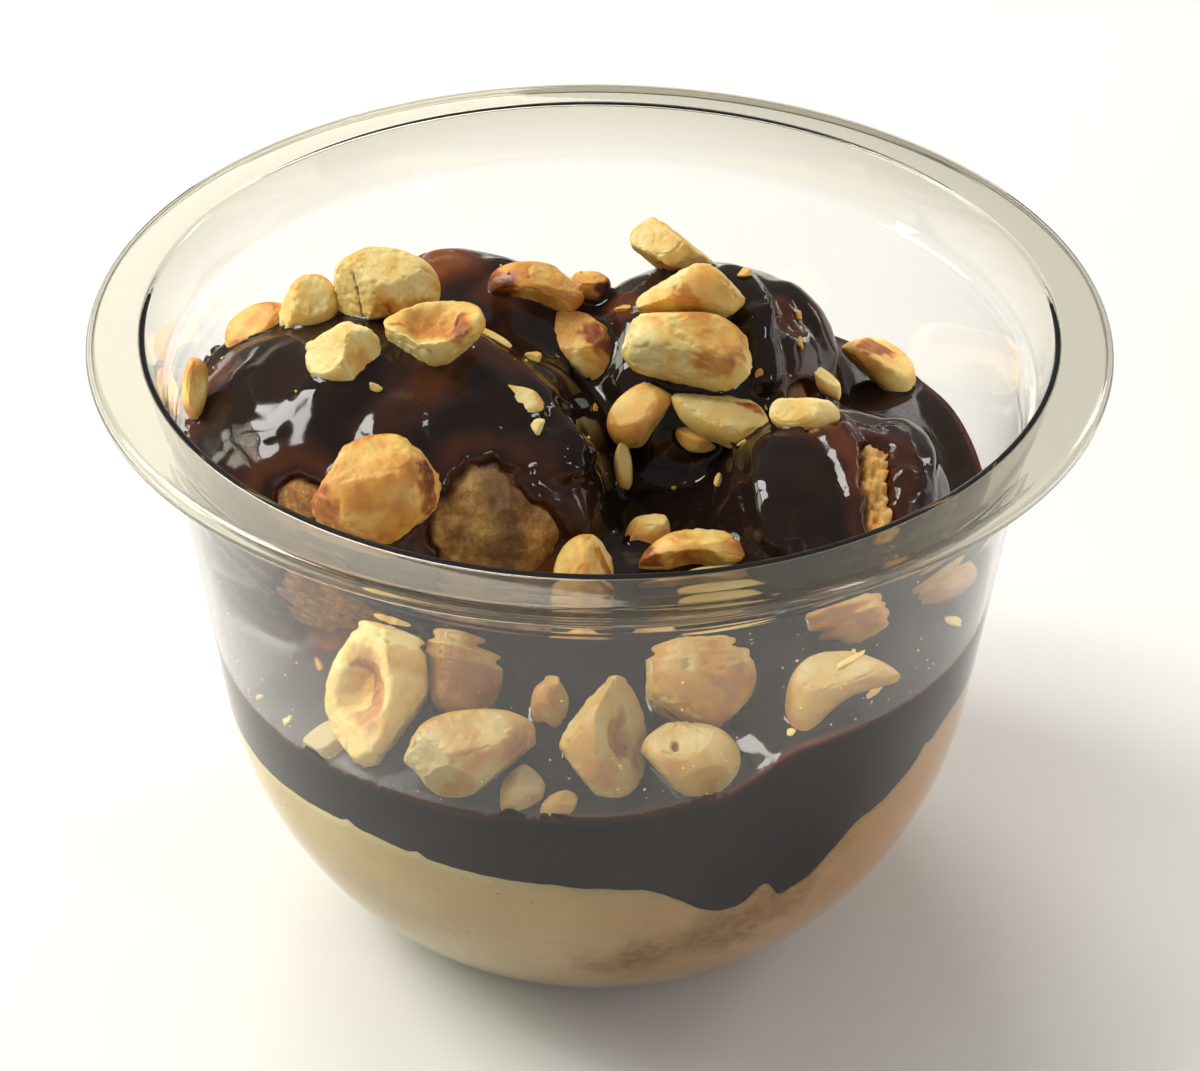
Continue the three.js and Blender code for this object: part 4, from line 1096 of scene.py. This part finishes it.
def chip(spot, out, half, turn, level, rng):
    """Points and faces of a small broken chip that lies on a surface and is partly sunk in it."""
    ball, faces = icosphere(level)
    total = np.ones(len(ball))
    for flat in unit(rng.normal(size=(CHIP_FACES, 3))):
        total += np.clip(ball @ flat / rng.uniform(0.36, 0.8), 0, None) ** CHIP_SHARPNESS
    points = turned(ball / (total ** (1 / CHIP_SHARPNESS))[:, None] * half, turn)
    side = unit(np.cross((0, 1, 0), out) + (1e-6, 0, 0))
    axes = np.array([side, np.cross(out, side), out])
    return points @ axes + spot + CHIP_RISE * half[2] * np.array(out), faces


def joined(meshes):
    """Points and faces of many meshes as one. The faces stay a list, as some are quads and some triangles."""
    starts = np.cumsum([0] + [len(points) for points, faces in meshes])
    blocks = [(np.asarray(faces) + start).tolist() for (points, faces), start in zip(meshes, starts)]
    return np.vstack([points for points, faces in meshes]), [face for block in blocks for face in block]


def scatter(name, chips, tones, material):
    """One mesh of many chips, each of its own tone."""
    toast_and_shade = np.concatenate([np.full(len(points), tone) for (points, faces), tone in zip(chips, tones)])
    none = 0 * toast_and_shade
    fields = dict(toast_and_shade=0.06 + 0.55 * toast_and_shade, cut=1 + none, glaze=none, pink=none, painted_wall_shade=none,
                  crack=NO_CRACK + none)
    place(make(name, *joined(chips), material, **fields), "hazelnut")


def build_crumbs(ground, material):
    """Crumbs dropped onto the chocolate and the pieces, and specks on the inside of the wall."""
    rng = np.random.default_rng(7)
    points, faces = joined(ground)
    tree = BVHTree.FromPolygons(points.tolist(), faces)
    rows = list(CRUMBS)
    while len(rows) < len(CRUMBS) + FINE_CRUMBS:  # the fine ones lie beside the pieces they broke off
        x, y, z = NUTS[rng.integers(HIDDEN_FROM - 1)][0]
        away, around = rng.uniform(2.5, 7.5), rng.uniform(0, 2 * math.pi)
        long = rng.uniform(0.12, 0.34)
        x, y = x + away * math.cos(around), y + away * math.sin(around)
        rows.append((x, y, long, long * rng.uniform(0.5, 0.9), rng.uniform(0, 180), rng.uniform(0, 0.5)))
    chips, tones = [], []
    for x, y, long, wide, turn, tone in rows:
        spot, out, index, distance = tree.ray_cast(Vector((x, y, RIM_HEIGHT)), Vector((0, 0, -1)))
        if spot is None or math.hypot(x, y) > wall_radius(spot.z, WALL) - long - 0.2:
            continue
        half = np.array([long, wide, 0.6 * wide + 0.1])
        chips.append(chip(np.array(spot), np.array(out), half, turn, 3 if long > 0.5 else 1, rng))
        tones.append(tone)
    scatter("crumbs", chips, tones, material)
    specks, tones = [], []
    for _ in range(SPECKS):  # more of them near the sauce
        azimuth = rng.uniform(-158, -32)
        z = float(edge_height(SAUCE_EDGE, azimuth)) + 0.8 + 15 * rng.uniform() ** 1.6
        out = -heading(azimuth, 0)
        long = rng.uniform(0.07, 0.2)
        half = np.array([long, long * rng.uniform(0.5, 0.9), 0.5 * long])
        spot = -out * float(wall_radius(z, WALL + 0.3 * half[2])) + (0, 0, z)
        specks.append(chip(spot, out, half, rng.uniform(0, 180), 1, rng))
        tones.append(rng.uniform(-0.1, 0.25))
    scatter("specks", specks, tones, material)


# ---- stage ----
CAMERA_DISTANCE = 249.455
CAMERA_ELEVATION = 30.564
CAMERA_YAW = 0.046
CAMERA_PITCH = -4.939
CAMERA_ROLL = 0.596
LENS = 80.0
SENSOR = 36.0
LAMPS_AIM = 0.045  # height in metres that the lamps face
PANES = 2  # across and up in each window
BAR = 0.12  # share of a window that its bars take
WARM, GREEN, COOL = (1.0, 0.97, 0.92), (0.96, 1.0, 0.80), (0.94, 0.97, 1.0)
FLOOR_HALF = 3000.0
FLOOR_DROP = 0.02
SKY = 0.27


def set_camera():
    """The photo's camera: it looks towards the rim's centre, then turned by small angles for the framing."""
    e = math.radians(CAMERA_ELEVATION)
    arm = Vector((0, -math.cos(e), math.sin(e))) * CAMERA_DISTANCE
    forward = -arm.normalized()
    right = Vector((1, 0, 0))
    up = right.cross(forward)
    a, b, c = (math.radians(x) for x in (CAMERA_YAW, CAMERA_PITCH, CAMERA_ROLL))
    forward, right = forward * math.cos(a) + right * math.sin(a), right * math.cos(a) - forward * math.sin(a)
    forward, up = forward * math.cos(b) + up * math.sin(b), up * math.cos(b) - forward * math.sin(b)
    right, up = right * math.cos(c) + up * math.sin(c), up * math.cos(c) - right * math.sin(c)
    data = bpy.data.cameras.new("camera")
    data.lens, data.sensor_width, data.sensor_fit = LENS, SENSOR, "HORIZONTAL"
    data.clip_start, data.clip_end = 0.01, 20
    camera = bpy.data.objects.new("camera", data)
    bpy.context.scene.collection.objects.link(camera)
    turn = Matrix((right, up, -forward)).transposed().to_4x4()
    camera.matrix_world = Matrix.Translation((arm + Vector((0, 0, RIM_HEIGHT))) * MM) @ turn
    bpy.context.scene.camera = camera


def soft_light(name, middle, width, height, radiance, colour, mirrored=True):
    """A rectangular lamp that faces the dessert from middle, in metres from it."""
    data = bpy.data.lights.new(name, "AREA")
    data.shape, data.size, data.size_y = "RECTANGLE", width, height
    data.energy = radiance * math.pi * width * height
    data.color = colour
    lamp = bpy.data.objects.new(name, data)
    bpy.context.scene.collection.objects.link(lamp)
    lamp.location = middle + Vector((0, 0, LAMPS_AIM))
    lamp.rotation_euler = middle.to_track_quat("Z", "Y").to_euler()
    lamp.visible_glossy = mirrored


def window(name, azimuth, elevation, distance, width, height, radiance, colour):
    """A window of panes with bars between them. Radiance and colour are given for each row, from below."""
    towards = Vector(heading(azimuth, elevation))
    side = Vector((0, 0, 1)).cross(towards).normalized()
    up = towards.cross(side)
    pane = (width / PANES * (1 - BAR), height / PANES * (1 - BAR))
    for row in range(PANES):
        for column in range(PANES):
            across, above = (column + 0.5) / PANES - 0.5, (row + 0.5) / PANES - 0.5
            middle = towards * distance + side * width * across + up * height * above
            soft_light(f"{name}_{row}_{column}", middle, *pane, radiance[row], colour[row])


def set_stage():
    corners = [(x * FLOOR_HALF, y * FLOOR_HALF, -FLOOR_DROP) for x, y in ((-1, -1), (1, -1), (1, 1), (-1, 1))]
    make("floor", corners, [(0, 1, 2, 3)], floor_stuff(), smooth=False)
    window("window_left", 167, 39, 0.7, 0.36, 0.50, (7.0, 15.0), (GREEN, WARM))
    soft_light("key", Vector(heading(108, 38)) * 0.8, 0.40, 0.40, 5.0, WARM, mirrored=False)
    soft_light("side_right", Vector(heading(10, 8)) * 1.0, 0.8, 0.5, 1.5, WARM, mirrored=False)
    window("window_right", 38, 22, 0.8, 0.16, 0.26, (7.0, 9.0), (WARM, WARM))
    soft_light("glint_front", Vector(heading(-39, 24)) * 0.8, 0.09, 0.14, 12.0, COOL)
    world = bpy.data.worlds.new("studio")
    world.use_nodes = True
    world.node_tree.nodes["Background"].inputs["Color"].default_value = (1.0, 0.98, 0.95, 1)
    world.node_tree.nodes["Background"].inputs["Strength"].default_value = SKY
    bpy.context.scene.world = world
    bpy.context.scene.view_settings.view_transform = "Standard"
    cycles = bpy.context.scene.cycles
    cycles.max_bounces, cycles.diffuse_bounces = 10, 3
    cycles.glossy_bounces, cycles.transmission_bounces = 3, 8


# ---- everything ----
set_camera()
set_stage()
build_cup()
build_cream()
ground = [build_chocolate()]
choux = choux_stuff()
for number, (name, ball) in enumerate(PROFITEROLES.items()):
    build_choux(name, ball, number, choux)
nut_material = hazelnut_stuff()
ground += build_hazelnuts(nut_material)
build_crumbs(ground, nut_material)
